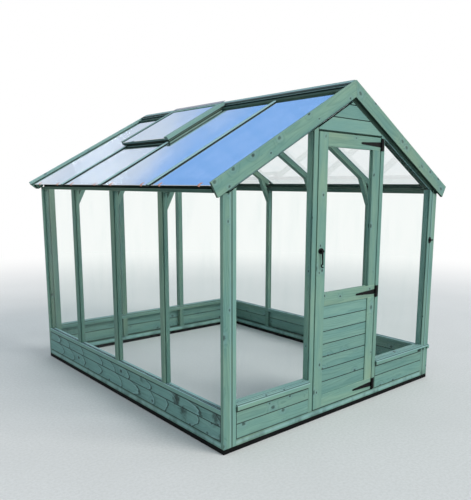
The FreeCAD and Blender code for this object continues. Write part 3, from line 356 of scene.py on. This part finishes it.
def stained_wood(name, knots=0.5, scallops=0.0, blue=0.0, lines=()):
    """Softwood under a thin green stain: rings, knots, fibres, worn arrises and splashes low down, with
    painted shade, painted sky light and painted highlights.
    """
    material, tree, skin = blank(name)
    place = add(tree, "ShaderNodeAttribute", attribute_name="grain_place").outputs["Vector"]
    world = object_place(tree)
    edge = attribute(tree, "worn_and_lit_edge")
    painted_shade = attribute(tree, "painted_shade")
    knot, halo, swell = knots_in(tree, place, knots)
    ring, height = rings_in(tree, place, swell)
    patch = grained(tree, place, PATCH_SPREAD, 4.0)
    fibre = grained(tree, place, FIBRE_SPREAD, 3.0, FIBRE_ROUGH)
    broad = grained(tree, place, BROAD_SPREAD, 2.0)

    darker = sums(tree, "MULTIPLY_ADD", fibre, FIBRE_DARK, DARK_FROM)
    darker = sums(tree, "MULTIPLY_ADD", ring, RING_DARK, darker, clamp=True)
    tone = attribute(tree, "board_tone")
    darker = sums(tree, "MULTIPLY_ADD", tone, BOARD_DARK, darker, clamp=True)
    darker = sums(tree, "ADD", darker, sums(tree, "MULTIPLY", swell, SWELL_DARK), clamp=True)
    relief = sums(tree, "MULTIPLY_ADD", fibre, FIBRE_RELIEF, sums(tree, "MULTIPLY", ring, RING_RELIEF))
    if scallops:
        crescent, rim, shadow = scallops_in(tree, place, height)
        darker = sums(tree, "MULTIPLY_ADD", shadow, SCALLOP_DARK, darker, clamp=True)
        relief = sums(tree, "MULTIPLY_ADD", crescent, SCALLOP_RELIEF, relief)

    colour = tint(tree, between(tree, patch, *LIGHT_PATCHES), STAIN_MIDDLE, STAIN_LIGHT)
    colour = tint(tree, between(tree, broad, *WARM_PATCHES), colour, STAIN_WARM)
    # The blue share is painted sky light on faces turned from the lamp.
    colour = tint(tree, blue, colour, SKY_LIT_SHADE)
    colour = tint(tree, darker, colour, STAIN_DEEP)
    colour = tint(tree, sums(tree, "MULTIPLY", halo, HALO_SHOWS), colour, PALE_GRAIN_AND_PAINTED_LIGHT)
    if scallops:
        colour = tint(tree, sums(tree, "MULTIPLY", rim, scallops * RIM_SHOWS), colour, PALE_GRAIN_AND_PAINTED_LIGHT)
        colour = tint(tree, sums(tree, "MULTIPLY", crescent, scallops), colour, BLACK_STAIN_AND_SHADE)
        colour = smudged(tree, colour, world)
    # Worn arrises, made paler also as a painted highlight.
    rubbed_and_lit = sums(tree, "MULTIPLY", edge, between(tree, patch, *RUBBED_AND_LIT_PATCHES))
    colour = tint(tree, rubbed_and_lit, colour, RUBBED_AND_LIT)
    # Faces that look up get painted sky light.
    colour = tint(tree, attribute(tree, "painted_top_light"), colour, PALE_GRAIN_AND_PAINTED_LIGHT)
    colour = tint(tree, sums(tree, "MULTIPLY", knot, KNOT_SHOWS), colour, KNOT_DARK)
    # Painted shade, deepening to black, on faces in shadow.
    colour = tint(tree, painted_shade, colour, BLACK_STAIN_AND_SHADE)
    cut_end = between(tree, fibre, *CUT_END_FIBRES)
    cut_end = sums(tree, "MULTIPLY", attribute(tree, "end_grain"), cut_end)
    colour = tint(tree, cut_end, colour, BLACK_STAIN_AND_SHADE)
    # Board joints darkened by dirt and painted shade.
    joint = sums(tree, "MULTIPLY", attribute(tree, "board_joint"), JOINT_DIRT_AND_SHADE_SHOWS)
    colour = tint(tree, joint, colour, BLACK_STAIN_AND_SHADE)
    # Lines of painted shade and of painted highlight.
    colour = lined(tree, colour, world, lines)
    wet = noise(tree, spread(tree, world, SPLASH_SPREAD), SPLASH_SCALE)
    low = between(tree, apart(tree, world)[2], *SPLASH_HEIGHT)
    wet = sums(tree, "MULTIPLY", low, between(tree, wet, *SPLASH_PATCHES))
    colour = tint(tree, wet, colour, SPLASH)
    tree.links.new(colour, skin.inputs["Base Color"])

    rough = sums(tree, "MULTIPLY_ADD", fibre, FIBRE_ROUGHER, WOOD_ROUGH)
    rough = sums(tree, "MULTIPLY_ADD", edge, EDGE_ROUGHER, rough)
    tree.links.new(rough, skin.inputs["Roughness"])
    tree.links.new(between(tree, painted_shade, *WOOD_SHINE), skin.inputs["Specular IOR Level"])
    relieve(tree, skin, relief, GRAIN_STRENGTH, GRAIN_DEPTH)
    return material


# Metal, tarred timber and glass

TAR = {
    "clouds": (9.0, 4.0), "blend": (0.45, 0.75, 0.0, 0.5),
    "dark": shade(7, 9, 9), "pale": shade(30, 32, 30),
    "grit": (320.0, 4.0, 0.7), "rough": (0.2, 0.8, 0.62, 0.9), "rough_by": "grit",
    "relief": (0.4, 0.001), "plain": {"Specular IOR Level": 0.12},
}
IRON = {
    "clouds": (40.0, 3.0), "blend": (0.4, 0.7, 0.0, 0.6),
    "dark": shade(6, 6, 7), "pale": shade(20, 21, 22),
    "grit": (900.0, 2.0), "rough": (0.3, 0.7, 0.4, 0.55),
    "relief": (0.3, 0.0003), "plain": {"Specular IOR Level": 0.12},
}
ZINC = {
    "clouds": (120.0, 4.0), "blend": (0.35, 0.7),
    "dark": shade(150, 155, 158), "pale": shade(196, 199, 200),
    "rough": (0.3, 0.7, 0.28, 0.5), "plain": {"Metallic": 1.0},
}
FLASHING = {
    "clouds": (30.0, 4.0), "blend": (0.35, 0.7),
    "dark": shade(78, 96, 118), "pale": shade(112, 130, 150),
    "rough": (0.3, 0.7, 0.22, 0.4), "relief": (0.3, 0.0015),
}
COPPER = {
    "clouds": (160.0, 3.0), "blend": (0.35, 0.7),
    "dark": shade(226, 168, 142), "pale": shade(188, 116, 88),
    "plain": {"Metallic": 0.4, "Roughness": 0.5},
}
SMEAR_SPREAD = (7.0, 7.0, 2.0)
SMEAR_PATCHES = (0.45, 0.75)
CLEAR = (0.94, 0.96, 0.97, 1)
WALL_PANE = {
    "colour": (0.96, 0.98, 0.97, 1), "smear_colour": (0.93, 0.96, 0.95, 1),
    "dusty": 0.02, "bend": 1.07, "mirror": 0.0,
}
SKY_PANE = {
    "colour": (0.95, 0.97, 0.985, 1), "smear_colour": (0.89, 0.93, 0.96, 1),
    "dusty": 0.05, "bend": 1.6, "mirror": 0.8, "lean": 0.2,
}
ROOF_PANE = {
    "colour": (0.95, 0.97, 0.985, 1), "smear_colour": (0.90, 0.94, 0.96, 1),
    "dusty": 0.03, "bend": 1.3, "mirror": 0.05,
}


def clouded(name, clouds, blend, dark, pale, grit=None, rough=None, rough_by="clouds", relief=None, plain=()):
    """A finish whose colour drifts with soft clouds. Its relief follows the grit, if it has any."""
    material, tree, skin = blank(name)
    world = object_place(tree)
    drift = {"clouds": noise(tree, world, *clouds)}
    drift["grit"] = noise(tree, world, *grit) if grit else drift["clouds"]
    colour = tint(tree, between(tree, drift["clouds"], *blend), dark, pale)
    tree.links.new(colour, skin.inputs["Base Color"])
    if rough:
        tree.links.new(between(tree, drift[rough_by], *rough), skin.inputs["Roughness"])
    if relief:
        relieve(tree, skin, drift["grit"], *relief)
    for socket, value in dict(plain).items():
        skin.inputs[socket].default_value = value
    return material


def window_glass(name, colour, smear_colour, dusty, bend, mirror, lean=0.0):
    """Glass with a thin film of dust. Lamps and soft light pass it. Lean tilts what it mirrors."""
    material, tree, skin = blank(name)
    world = object_place(tree)
    film = between(tree, grained(tree, world, SMEAR_SPREAD, 4.0), *SMEAR_PATCHES)
    tree.links.new(tint(tree, film, colour, smear_colour), skin.inputs["Base Color"])
    tree.links.new(sums(tree, "MULTIPLY", film, dusty), skin.inputs["Roughness"])
    skin.inputs["Transmission Weight"].default_value = 1.0
    skin.inputs["IOR"].default_value = bend
    skin.inputs["Metallic"].default_value = mirror
    if lean:
        relieve(tree, skin, sums(tree, "MULTIPLY", apart(tree, world)[1], lean), 1.0, 1.0)
    path = add(tree, "ShaderNodeLightPath")
    clear = add(tree, "ShaderNodeBsdfTransparent", {"Color": CLEAR}).outputs[0]
    mixed = skin.outputs[0]
    for ray in ("Is Diffuse Ray", "Is Shadow Ray"):
        mixed = add(tree, "ShaderNodeMixShader", {0: path.outputs[ray], 1: mixed, 2: clear}).outputs[0]
    tree.links.new(mixed, tree.nodes["Material Output"].inputs["Surface"])
    return material


# Pieces made from the CAD nodes

WELD = 0.00002
FLAT = math.radians(0.4)
CORNER = math.radians(35)
SHARP = math.radians(25)
DOWN_SLOPE = Vector((-0.868, 0.0, -0.497))
LEFT = Vector((-1.0, 0.0, 0.0))
RIGHT = Vector((1.0, 0.0, 0.0))
FRONT = Vector((0.0, -1.0, 0.0))
BACK = Vector((0.0, 1.0, 0.0))
DOWN = Vector((0.0, 0.0, -1.0))
UP = Vector((0.0, 0.0, 1.0))

# How squarely two directions have to agree.
CROSSWAYS = 0.2
ALONG_ENDS = 0.8
WIDE_SIDE = 0.7
LOOKS_THAT_WAY = 0.5
LOOKS_UP = 0.4
LOOKS_OUT = 0.1

# Faces in painted shade: the node, the way they look, how squarely, and how dark they are painted.
FACE_PAINTED_SHADES = (
    ("vent_lid_frame", DOWN_SLOPE, 0.8, 0.95), ("vent_curb", DOWN_SLOPE, 0.8, 0.95),
    ("eaves_rails", LEFT, 0.9, 0.9), ("eaves_rails", RIGHT, 0.9, 0.1), ("eaves_rails", DOWN, 0.9, 0.9),
    ("eaves_rails", FRONT, 0.9, 0.9), ("wall_top_rails", FRONT, 0.9, 0.8),
    ("verge_rails", FRONT, 0.9, 0.7), ("verge_rails", DOWN, 0.6, 0.7),
    ("corner_strips", LEFT, 0.9, 0.14), ("front_bargeboards", DOWN, 0.5, 0.9),
    ("gable_raking_rails", DOWN, 0.5, 0.85), ("gable_head_boards", UP, 0.5, 0.95),
    ("wall_top_rails", LEFT, 0.9, 0.68), ("verge_rails", DOWN_SLOPE, 0.8, 0.95),
    ("front_sills", DOWN, 0.5, 0.8), ("left_sill", DOWN, 0.5, 0.8),
)
NEARLY_BLACK = 0.95

# Hollows painted dark as shade, and the place on the vent's frame behind which its forward faces are painted
# dark too, in metres.
HORN_RECESS_START = 0.875
HORN_RECESS_END = 0.953
HORN_RECESS_TOP = 0.2635
HORN_RECESS_FRONT = -1.2845
TOP_RAIL_FACE = 1.044
LID_MIDDLE = 0.3

# How dark the painted shade is on the other faces of a node, and how much painted light those that look up
# get.
PAINTED_SHADE_DEPTH = {
    "eaves_rails": 0.2, "ridge_rails": 0.75, "gable_raking_rails": 0.5, "rafters": 0.35,
    "verge_rails": 0.3, "right_wall_boards": 0.06, "back_wall_boards": 0.12, "back_gable_posts": 0.2,
    "back_gable_stiles": 0.22, "left_wall_posts": 0.28, "right_wall_posts": 0.25,
    "post_cover_strips": 0.34, "knee_braces": 0.25, "vent_curb": 0.15, "right_sill": 0.2,
    "back_sill": 0.05, "wall_top_rails": 0.3, "ridge_capping_boards": 0.35,
}
PAINTED_TOP_LIGHT_SHARES = {
    "left_sill": 0.6, "right_sill": 0.6, "front_sills": 0.3, "back_sill": 0.4,
    "glazing_bar_cappings": 0.9, "back_bargeboards": 0.6, "vent_lid_frame": 0.25,
}

# Sides that lie against another piece and keep their sharp corners, so that no light comes between.
SHUT_SIDES = {"gable_head_boards": BACK}

# Where a board's grain may start in the tree, along, across and through it.
START_ALONG = (2, 30)
START_ACROSS = (-0.03, 0.03)
START_THROUGH = (0.03, 0.09)

BOARD_ARRIS = 3.0 * MM
MEMBER_ARRIS = 1.6 * MM
SIDE_SILL_ARRIS = 0.8 * MM
BEARER_ARRIS = 2.0 * MM
IRON_ARRIS = 0.4 * MM


def solids_of(mesh):
    """The triangles of each solid: one ends where every edge has met its twin."""
    solids = []
    current = []
    waiting = set()
    for face in mesh.polygons:
        current.append(face.index)
        corners = [tuple(round(c, 5) for c in mesh.vertices[i].co) for i in face.vertices]
        for start, end in zip(corners, corners[1:] + corners[:1]):
            if start == end:
                continue
            if (end, start) in waiting:
                waiting.remove((end, start))
            else:
                waiting.add((start, end))
        if not waiting:
            solids.append(set(current))
            current = []
    if current:
        solids.append(set(current))
    return solids


def one_solid(mesh, faces):
    """A welded copy of one solid with its flat faces whole."""
    solid = bmesh.new()
    solid.from_mesh(mesh)
    others = [face for face in solid.faces if face.index not in faces]
    bmesh.ops.delete(solid, geom=others, context="FACES")
    bmesh.ops.remove_doubles(solid, verts=solid.verts[:], dist=WELD)
    bmesh.ops.dissolve_limit(solid, angle_limit=FLAT, verts=solid.verts[:], edges=solid.edges[:])
    return solid


def member_axes(solid):
    """The directions of a member's length, width and thickness, from its longest edges."""
    edges = sorted(solid.edges, key=lambda edge: -edge.calc_length())
    ways = [(edge.verts[1].co - edge.verts[0].co).normalized() for edge in edges]
    along = ways[0]
    if max(along, key=abs) < 0:
        along = -along
    across = next((way for way in ways if abs(way.dot(along)) < CROSSWAYS), along.orthogonal())
    across = (across - along * across.dot(along)).normalized()
    return along, across, along.cross(across)


def grain(solid, axes, chance):
    """Writes where each point lies in its own board, which sets where rings and knots fall."""
    place = solid.verts.layers.float_vector.new("grain_place")
    tone = solid.verts.layers.float.new("board_tone")
    shift = []
    for axis in axes:
        reach = [vert.co.dot(axis) for vert in solid.verts]
        shift.append((min(reach) + max(reach)) / 2)
    start = [chance.uniform(*limits) for limits in (START_ALONG, START_ACROSS, START_THROUGH)]
    own = chance.random()
    for vert in solid.verts:
        vert[place] = Vector([vert.co.dot(a) - m + s for a, m, s in zip(axes, shift, start)])
        vert[tone] = own


def ease(solid, arris, boards, shut):
    """Takes the sharp outer corners off, but not on the shut side, and marks the narrow faces."""
    corners = [e for e in solid.edges if e.is_manifold and e.calc_face_angle_signed(0.0) > CORNER]
    if shut:
        corners = [e for e in corners if all(f.normal.dot(shut) < LOOKS_THAT_WAY for f in e.link_faces)]
    worn = solid.faces.layers.float.new("worn_and_lit_edge")
    joint = solid.faces.layers.float.new("board_joint")
    if corners:
        made = bmesh.ops.bevel(
            solid, geom=corners, offset=arris, offset_type="OFFSET", affect="EDGES",
            segments=1, profile=0.5, clamp_overlap=True, material=-1,
        )
        # On boards these faces get dirt and painted shade, on members wear and a painted highlight.
        for face in made["faces"]:
            face[joint if boards else worn] = 1.0


def in_horn_recess(face):
    """Whether a face lies in the hollow under the right front sill."""
    middle = face.calc_center_median()
    inside = HORN_RECESS_START < middle.x < HORN_RECESS_END and middle.z < HORN_RECESS_TOP
    return inside and middle.y > HORN_RECESS_FRONT


def in_rail_rebate(face):
    """Whether a face lies in the rebate between the wall's top rail and the eaves rail."""
    middle = face.calc_center_median()
    outward = face.normal.x * middle.x + face.normal.z > LOOKS_OUT
    return abs(middle.x) < TOP_RAIL_FACE and abs(face.normal.y) < LOOKS_THAT_WAY and outward


def on_far_lid_side(face):
    """Whether a face looks forward from the far side of the vent's frame."""
    return face.normal.y < -LOOKS_THAT_WAY and face.calc_center_median().y > LID_MIDDLE


def mark_faces(solid, node, along, through):
    """Writes how dark the painted shade is on each face, and which faces are cut ends or tops with painted
    light.
    """
    names = ("painted_shade", "end_grain", "painted_top_light", "wide_face")
    depth, end, painted_top_light, wide = [solid.faces.layers.float.new(name) for name in names]
    for face in solid.faces:
        face[depth] = PAINTED_SHADE_DEPTH.get(node, 0.0)
        face[wide] = 1.0 if abs(face.normal.dot(through)) > WIDE_SIDE else 0.0
        if abs(face.normal.dot(along)) > ALONG_ENDS:
            face[end] = 1.0
        for name, way, least, amount in FACE_PAINTED_SHADES:
            if node == name and face.normal.dot(way) > least:
                face[depth] = amount
        # The hollow under the sill, the rail's rebate and the far side of the vent's frame get painted shade.
        if node == "front_sills" and in_horn_recess(face):
            face[depth] = 1.0
        if node == "wall_top_rails" and in_rail_rebate(face):
            face[depth] = NEARLY_BLACK
        if node == "vent_lid_frame" and on_far_lid_side(face):
            face[depth] = NEARLY_BLACK
        # Tops, and the cappings' sides that face the lamp, get painted light.
        lit_capping_side = node == "glazing_bar_cappings" and face.normal.y < -LOOKS_THAT_WAY
        if face.normal.z > LOOKS_UP or lit_capping_side:
            face[painted_top_light] = PAINTED_TOP_LIGHT_SHARES.get(node, 0.0)


def placed(name, data):
    """A new object in the scene."""
    made = bpy.data.objects.new(name, data)
    bpy.context.scene.collection.objects.link(made)
    return made


def dressed(node, material, arris):
    """A copy of a CAD node with eased corners and its own grain, which stands for the node."""
    source = frame["nodes"][node].data
    chance = random.Random(node)
    whole = bmesh.new()
    for faces in solids_of(source):
        solid = one_solid(source, faces)
        along, across, through = member_axes(solid)
        grain(solid, (along, across, through), chance)
        ease(solid, arris, SLOT_OF[node] == "stained_boards", SHUT_SIDES.get(node))
        mark_faces(solid, node, along, through)
        carrier = bpy.data.meshes.new("solid")
        solid.to_mesh(carrier)
        solid.free()
        whole.from_mesh(carrier)
        bpy.data.meshes.remove(carrier)
    for face in whole.faces:
        face.smooth = True
    for edge in whole.edges:
        edge.smooth = edge.is_manifold and edge.calc_face_angle(0.0) < SHARP
    mesh = bpy.data.meshes.new(node + "_finished")
    whole.to_mesh(mesh)
    whole.free()
    mesh.materials.append(material)
    piece = placed(node + "_finished", mesh)
    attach(piece, BODY_OF[node])
    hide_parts(node)


# Lines of painted shade in grooves, gaps and under noses, and of painted highlight on arrises: what is
# measured, in metres, the line's middle there, half its width, and its strength, below nought for a painted
# highlight.

SIDE_SILL_LINES = (
    ("aside", 1.0245, 0.0038, 0.95), ("aside", 1.0312, 0.0030, -0.9),
    ("aside", 1.0375, 0.0035, 1.0), ("aside", 1.0435, 0.0028, -1.0),
)
GABLE_SILL_LINES = (
    ("height", 0.2785, 0.0019, 0.65), ("height", 0.2850, 0.0012, 0.4), ("height", 0.2735, 0.0017, -0.45),
)
UNDER_GABLE_SILL = (("height", 0.2385, 0.0055, 0.85), ("height", 0.0720, 0.0025, 0.75))
UNDER_SIDE_SILL = (("height", 0.2310, 0.0050, 0.85), ("height", 0.0725, 0.0030, 0.8))
RAIL_LINES = (("height", 0.0690, 0.0020, 0.7), ("height", 0.0500, 0.0090, -0.35))
DOOR_FOOT = (("height", 0.0735, 0.0022, 0.85),)
VERGE_LINES = (("below_roof", 0.0110, 0.0045, 0.9), ("below_roof", -0.0040, 0.0090, -0.4))
CAPPING_LINE = (("below_roof", 0.0100, 0.0052, 1.0),)
RAKING_LINE = (("below_roof", 0.0918, 0.0030, -0.6),)
LID_LINES = (
    ("below_roof", -0.0240, 0.0140, -0.3), ("below_roof", -0.0105, 0.0044, 1.0),
    ("below_roof", 0.0025, 0.0044, 1.0), ("below_roof", 0.0115, 0.0040, -0.2),
)
RIDGE_LINES = (
    ("down_slope", 0.0120, 0.0170, -0.55), ("down_slope", 0.0450, 0.0140, 0.95),
    ("below_roof", -0.0075, 0.0035, -0.7), ("down_slope", 0.0650, 0.0060, 0.9),
)
STILE_LINES = (("aside", 0.9850, 0.0055, 0.4), ("aside", 0.9810, 0.0022, 0.6))
STRIP_LINE = (("aside", 0.9960, 0.0030, -0.35),)

# The woods of the two timber slots, and of the nodes that differ from them.
WOODS = {
    "stained_timber": {"name": "stained_timber_members", "knots": 0.22},
    "bargeboards": {"name": "stained_timber_bargeboards", "knots": 0.95},
    "far_bargeboards": {"name": "stained_timber_far_bargeboards", "knots": 0.5, "lines": VERGE_LINES},
    "raking_rails": {"name": "stained_timber_raking", "knots": 0.0, "lines": RAKING_LINE},
    "cappings": {"name": "stained_timber_cappings", "knots": 0.0, "lines": CAPPING_LINE},
    "vent_frame": {"name": "stained_timber_vent", "knots": 0.4, "lines": LID_LINES},
    "ridge": {"name": "stained_timber_ridge", "knots": 0.1, "blue": 0.2, "lines": RIDGE_LINES},
    "front_stiles": {"name": "stained_timber_stiles", "knots": 0.22, "blue": 0.3, "lines": STILE_LINES},
    "corner_strips": {"name": "stained_timber_strips", "knots": 0.3, "lines": STRIP_LINE},
    "stained_boards": {"name": "stained_timber_boards", "knots": 0.35, "blue": 0.35},
    "door_members": {"name": "stained_timber_door", "knots": 0.3, "lines": DOOR_FOOT},
    "bottom_rails": {"name": "stained_timber_rails", "knots": 0.3, "blue": 0.3, "lines": RAIL_LINES},
    "front_boards": {"name": "stained_front_boards", "knots": 0.3, "blue": 0.3, "lines": UNDER_GABLE_SILL},
    "scalloped": {
        "name": "stained_timber_scalloped", "knots": 0.5, "scallops": 0.85, "blue": 0.8,
        "lines": UNDER_SIDE_SILL,
    },
    "side_sill": {"name": "stained_timber_side_sills", "knots": 0.3, "blue": 0.4, "lines": SIDE_SILL_LINES},
    "gable_sill": {
        "name": "stained_timber_gable_sills", "knots": 0.3, "blue": 0.1, "lines": GABLE_SILL_LINES,
    },
}
WOOD_OF = {
    "left_wall_boards": "scalloped", "left_sill": "side_sill", "right_sill": "side_sill",
    "front_wall_boards": "front_boards", "front_bargeboards": "bargeboards",
    "back_bargeboards": "far_bargeboards", "bottom_rails": "bottom_rails",
    "front_sills": "gable_sill", "back_sill": "gable_sill",
    "door_lock_stile": "door_members", "door_hinge_stiles": "door_members",
    "door_bottom_rail": "door_members", "glazing_bar_cappings": "cappings",
    "vent_lid_frame": "vent_frame", "vent_curb": "vent_frame",
    "ridge_capping_boards": "ridge", "ridge_rails": "ridge",
    "gable_raking_rails": "raking_rails", "front_gable_stiles": "front_stiles",
    "corner_strips": "corner_strips",
}


def finish_timber():
    """Every timber node as boards and members of stained softwood."""
    woods = {kind: stained_wood(**settings) for kind, settings in WOODS.items()}
    for node, slot in SLOT_OF.items():
        if slot not in ("stained_timber", "stained_boards"):
            continue
        arris = BOARD_ARRIS if slot == "stained_boards" else MEMBER_ARRIS
        if node in ("left_sill", "right_sill"):
            arris = SIDE_SILL_ARRIS
        dressed(node, woods[WOOD_OF.get(node, slot)], arris)


def finish_rest():
    """The bearers, the ironmongery, the strip over the vent and the glass."""
    tar = clouded("tarred_bearers", **TAR)
    metals = {
        "black_iron": clouded("black_ironmongery", **IRON), "zinc_steel": clouded("zinc_hinge_steel", **ZINC),
    }
    strip = clouded("vent_flashing", **FLASHING)
    wall_glass = window_glass("wall_glass", **WALL_PANE)
    sky_glass = window_glass("sky_side_roof_glass", **SKY_PANE)
    roof_glass = window_glass("roof_glass", **ROOF_PANE)
    panes = {"left_roof_glass": sky_glass, "vent_glass": sky_glass, "right_roof_glass": roof_glass}
    for node, slot in SLOT_OF.items():
        if slot == "black_timber":
            dressed(node, tar, BEARER_ARRIS)
        elif slot in metals:
            dressed(node, metals[slot], IRON_ARRIS)
        elif slot in ("flashing", "glass"):
            materials = frame["nodes"][node].data.materials
            materials.clear()
            materials.append(strip if slot == "flashing" else panes.get(node, wall_glass))


# The copper clips at the foot of the roof panes, in metres. Places are along the ridge, PANE_END is
# down the slope, and PANE_TOP is below the roof's top plane.

CLIP_PLACES = (-1.132, -0.729, -0.518, -0.112, 0.128, 0.521, 0.780, 1.150)
CLIP_WIDTH = 0.018
CLIP_REACH = 0.026
CLIP_LIP = 0.006
CLIP_SHEET = 0.0008
PANE_END = 1.280
PANE_TOP = 0.014
PANE_THICKNESS = 0.004


def slope_place(side, down, below, back):
    """A point of the roof from its distance down the slope and below the roof's top plane."""
    aside = math.cos(PITCH) * down - math.sin(PITCH) * below
    return Vector((side * aside, back, APEX - math.sin(PITCH) * down - math.cos(PITCH) * below))


def clip_the_panes():
    """Copper strips bent over the lower edges of the roof panes, two to a pane."""
    top = PANE_TOP - CLIP_SHEET
    foot = PANE_TOP + PANE_THICKNESS + CLIP_LIP
    start = PANE_END - CLIP_REACH
    end = PANE_END + CLIP_SHEET
    bend = ((start, top), (end, top), (end, foot), (PANE_END, foot), (PANE_END, PANE_TOP), (start, PANE_TOP))
    strips = bmesh.new()
    for side in (-1, 1):
        for back in CLIP_PLACES:
            near = back - CLIP_WIDTH / 2
            corners = [strips.verts.new(slope_place(side, down, below, near)) for down, below in bend]
            face = strips.faces.new(corners)
            grown = bmesh.ops.extrude_face_region(strips, geom=[face])["geom"]
            moved = [item for item in grown if isinstance(item, bmesh.types.BMVert)]
            bmesh.ops.translate(strips, verts=moved, vec=(0.0, CLIP_WIDTH, 0.0))
    bmesh.ops.recalc_face_normals(strips, faces=strips.faces[:])
    mesh = bpy.data.meshes.new("pane_clips")
    strips.to_mesh(mesh)
    strips.free()
    mesh.materials.append(clouded("pane_clip_copper", **COPPER))
    piece = placed("pane_clips", mesh)
    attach(piece, "house")


# Stage, light and camera

WHITE = (1, 1, 1, 1)
FLOOR_RADIUS = 60
FLOOR_SIDES = 96
FLOOR_ROUGH = 0.85
FLOOR_GRIT = (60.0, 5.0, 0.6)
FLOOR_GRIT_BLEND = (0.3, 0.7)
FLOOR_GRIT_DARK = shade(222, 221, 218)
FLOOR_GRIT_PALE = shade(233, 232, 230)
FLOOR_CLOUDS = (1.2, 3.0)
FLOOR_CLOUD_BLEND = (0.3, 0.7, 0.0, 0.25)
FLOOR_CLOUD_DARK = shade(214, 213, 210)
FLOOR_FADES = (3.2, 9.0)
LAMP_POWER = 1.75
LAMP_WIDTH = math.radians(28)
LAMP_COLOUR = (1.0, 0.985, 0.96)
LAMP_WAY = Vector((-0.30, 0.72, -0.62))

# What lights the scene, and what rays that look see: white, then pale, then blue. Heights in the sky
# go from 0 at the horizon to 1 overhead.
SKY_FILL = (0.50, 0.56, 0.605, 1.0)
SKY_PALE = shade(218, 230, 246)
SKY_BLUE = shade(138, 187, 250)
PALE_FROM = (0.56, 0.63)
BLUE_FROM = (0.655, 0.745)
CLOUD_SPREAD = (2.5, 2.5, 9.0)
CLOUD_NOISE = (2.0, 4.0)
CLOUD_LIFT = 0.10
CLOUD_MIDDLE = 0.05


def seen_rays(tree):
    """One for rays that look, or mirror, or look through glass, and nought for those that light."""
    path = add(tree, "ShaderNodeLightPath")
    seen = sums(tree, "MAXIMUM", path.outputs["Is Camera Ray"], path.outputs["Is Glossy Ray"])
    return sums(tree, "MAXIMUM", seen, path.outputs["Is Transmission Ray"])


def lay_floor():
    """A wide pale floor that keeps the shadow near the greenhouse and fades to white far off."""
    disc = bmesh.new()
    bmesh.ops.create_circle(disc, cap_ends=True, segments=FLOOR_SIDES, radius=FLOOR_RADIUS)
    mesh = bpy.data.meshes.new("floor")
    disc.to_mesh(mesh)
    disc.free()
    floor = placed("floor", mesh)
    material, tree, skin = blank("pale_floor")
    place = object_place(tree)
    grit = between(tree, noise(tree, place, *FLOOR_GRIT), *FLOOR_GRIT_BLEND)
    cloud = between(tree, noise(tree, place, *FLOOR_CLOUDS), *FLOOR_CLOUD_BLEND)
    colour = tint(tree, grit, FLOOR_GRIT_DARK, FLOOR_GRIT_PALE)
    colour = tint(tree, cloud, colour, FLOOR_CLOUD_DARK)
    tree.links.new(colour, skin.inputs["Base Color"])
    skin.inputs["Roughness"].default_value = FLOOR_ROUGH
    far = between(tree, length(tree, place), *FLOOR_FADES)
    far = sums(tree, "MULTIPLY", far, seen_rays(tree))
    glow = add(tree, "ShaderNodeEmission", {"Color": WHITE, "Strength": 1.0})
    mixed = add(tree, "ShaderNodeMixShader", {0: far, 1: skin.outputs[0], 2: glow.outputs[0]})
    tree.links.new(mixed.outputs[0], tree.nodes["Material Output"].inputs["Surface"])
    mesh.materials.append(material)


def light_the_scene():
    """A soft high lamp in front and a pale sky all round: white low down, blue overhead."""
    lamp = bpy.data.lights.new("soft_lamp", "SUN")
    lamp.energy = LAMP_POWER
    lamp.angle = LAMP_WIDTH
    lamp.color = LAMP_COLOUR
    holder = placed("soft_lamp", lamp)
    holder.rotation_euler = LAMP_WAY.to_track_quat("-Z", "Y").to_euler()

    world = bpy.data.worlds.new("pale_sky")
    bpy.context.scene.world = world
    world.use_nodes = True
    tree = world.node_tree
    background = tree.nodes["Background"]
    way = add(tree, "ShaderNodeTexCoord").outputs["Generated"]
    rise = apart(tree, way)[2]
    cloud = noise(tree, spread(tree, way, CLOUD_SPREAD), *CLOUD_NOISE)
    high = sums(tree, "MULTIPLY_ADD", cloud, CLOUD_LIFT, sums(tree, "SUBTRACT", rise, CLOUD_MIDDLE))
    sky = tint(tree, between(tree, rise, *PALE_FROM), WHITE, SKY_PALE)
    sky = tint(tree, between(tree, high, *BLUE_FROM), sky, SKY_BLUE)
    colour = tint(tree, seen_rays(tree), SKY_FILL, sky)
    tree.links.new(colour, background.inputs["Color"])
    background.inputs["Strength"].default_value = 1.0


def set_camera():
    """The camera stands where the photograph was taken."""
    yaw, pitch, roll = CAMERA_YAW, CAMERA_PITCH, CAMERA_ROLL
    ahead = Vector((math.sin(yaw) * math.cos(pitch), math.cos(yaw) * math.cos(pitch), -math.sin(pitch)))
    level = Vector((math.cos(yaw), -math.sin(yaw), 0.0))
    up = level.cross(ahead)
    right = level * math.cos(roll) + up * math.sin(roll)
    top = up * math.cos(roll) - level * math.sin(roll)
    lens = bpy.data.cameras.new("camera")
    lens.sensor_width = SENSOR
    lens.sensor_height = SENSOR
    lens.lens = FOCAL_PIXELS / PHOTO_HEIGHT * SENSOR
    lens.shift_x = (PHOTO_WIDTH / 2 - CENTRE_PIXEL_ACROSS) / PHOTO_HEIGHT
    lens.shift_y = (CENTRE_PIXEL_DOWN - PHOTO_HEIGHT / 2) / PHOTO_HEIGHT
    lens.clip_end = CAMERA_REACH
    camera = placed("camera", lens)
    turn = Matrix((right, top, -ahead)).transposed().to_4x4()
    camera.matrix_world = Matrix.Translation(CAMERA_PLACE) @ turn
    bpy.context.scene.camera = camera


finish_timber()
finish_rest()
clip_the_panes()
lay_floor()
light_the_scene()
set_camera()
bpy.context.scene.view_settings.view_transform = "Standard"
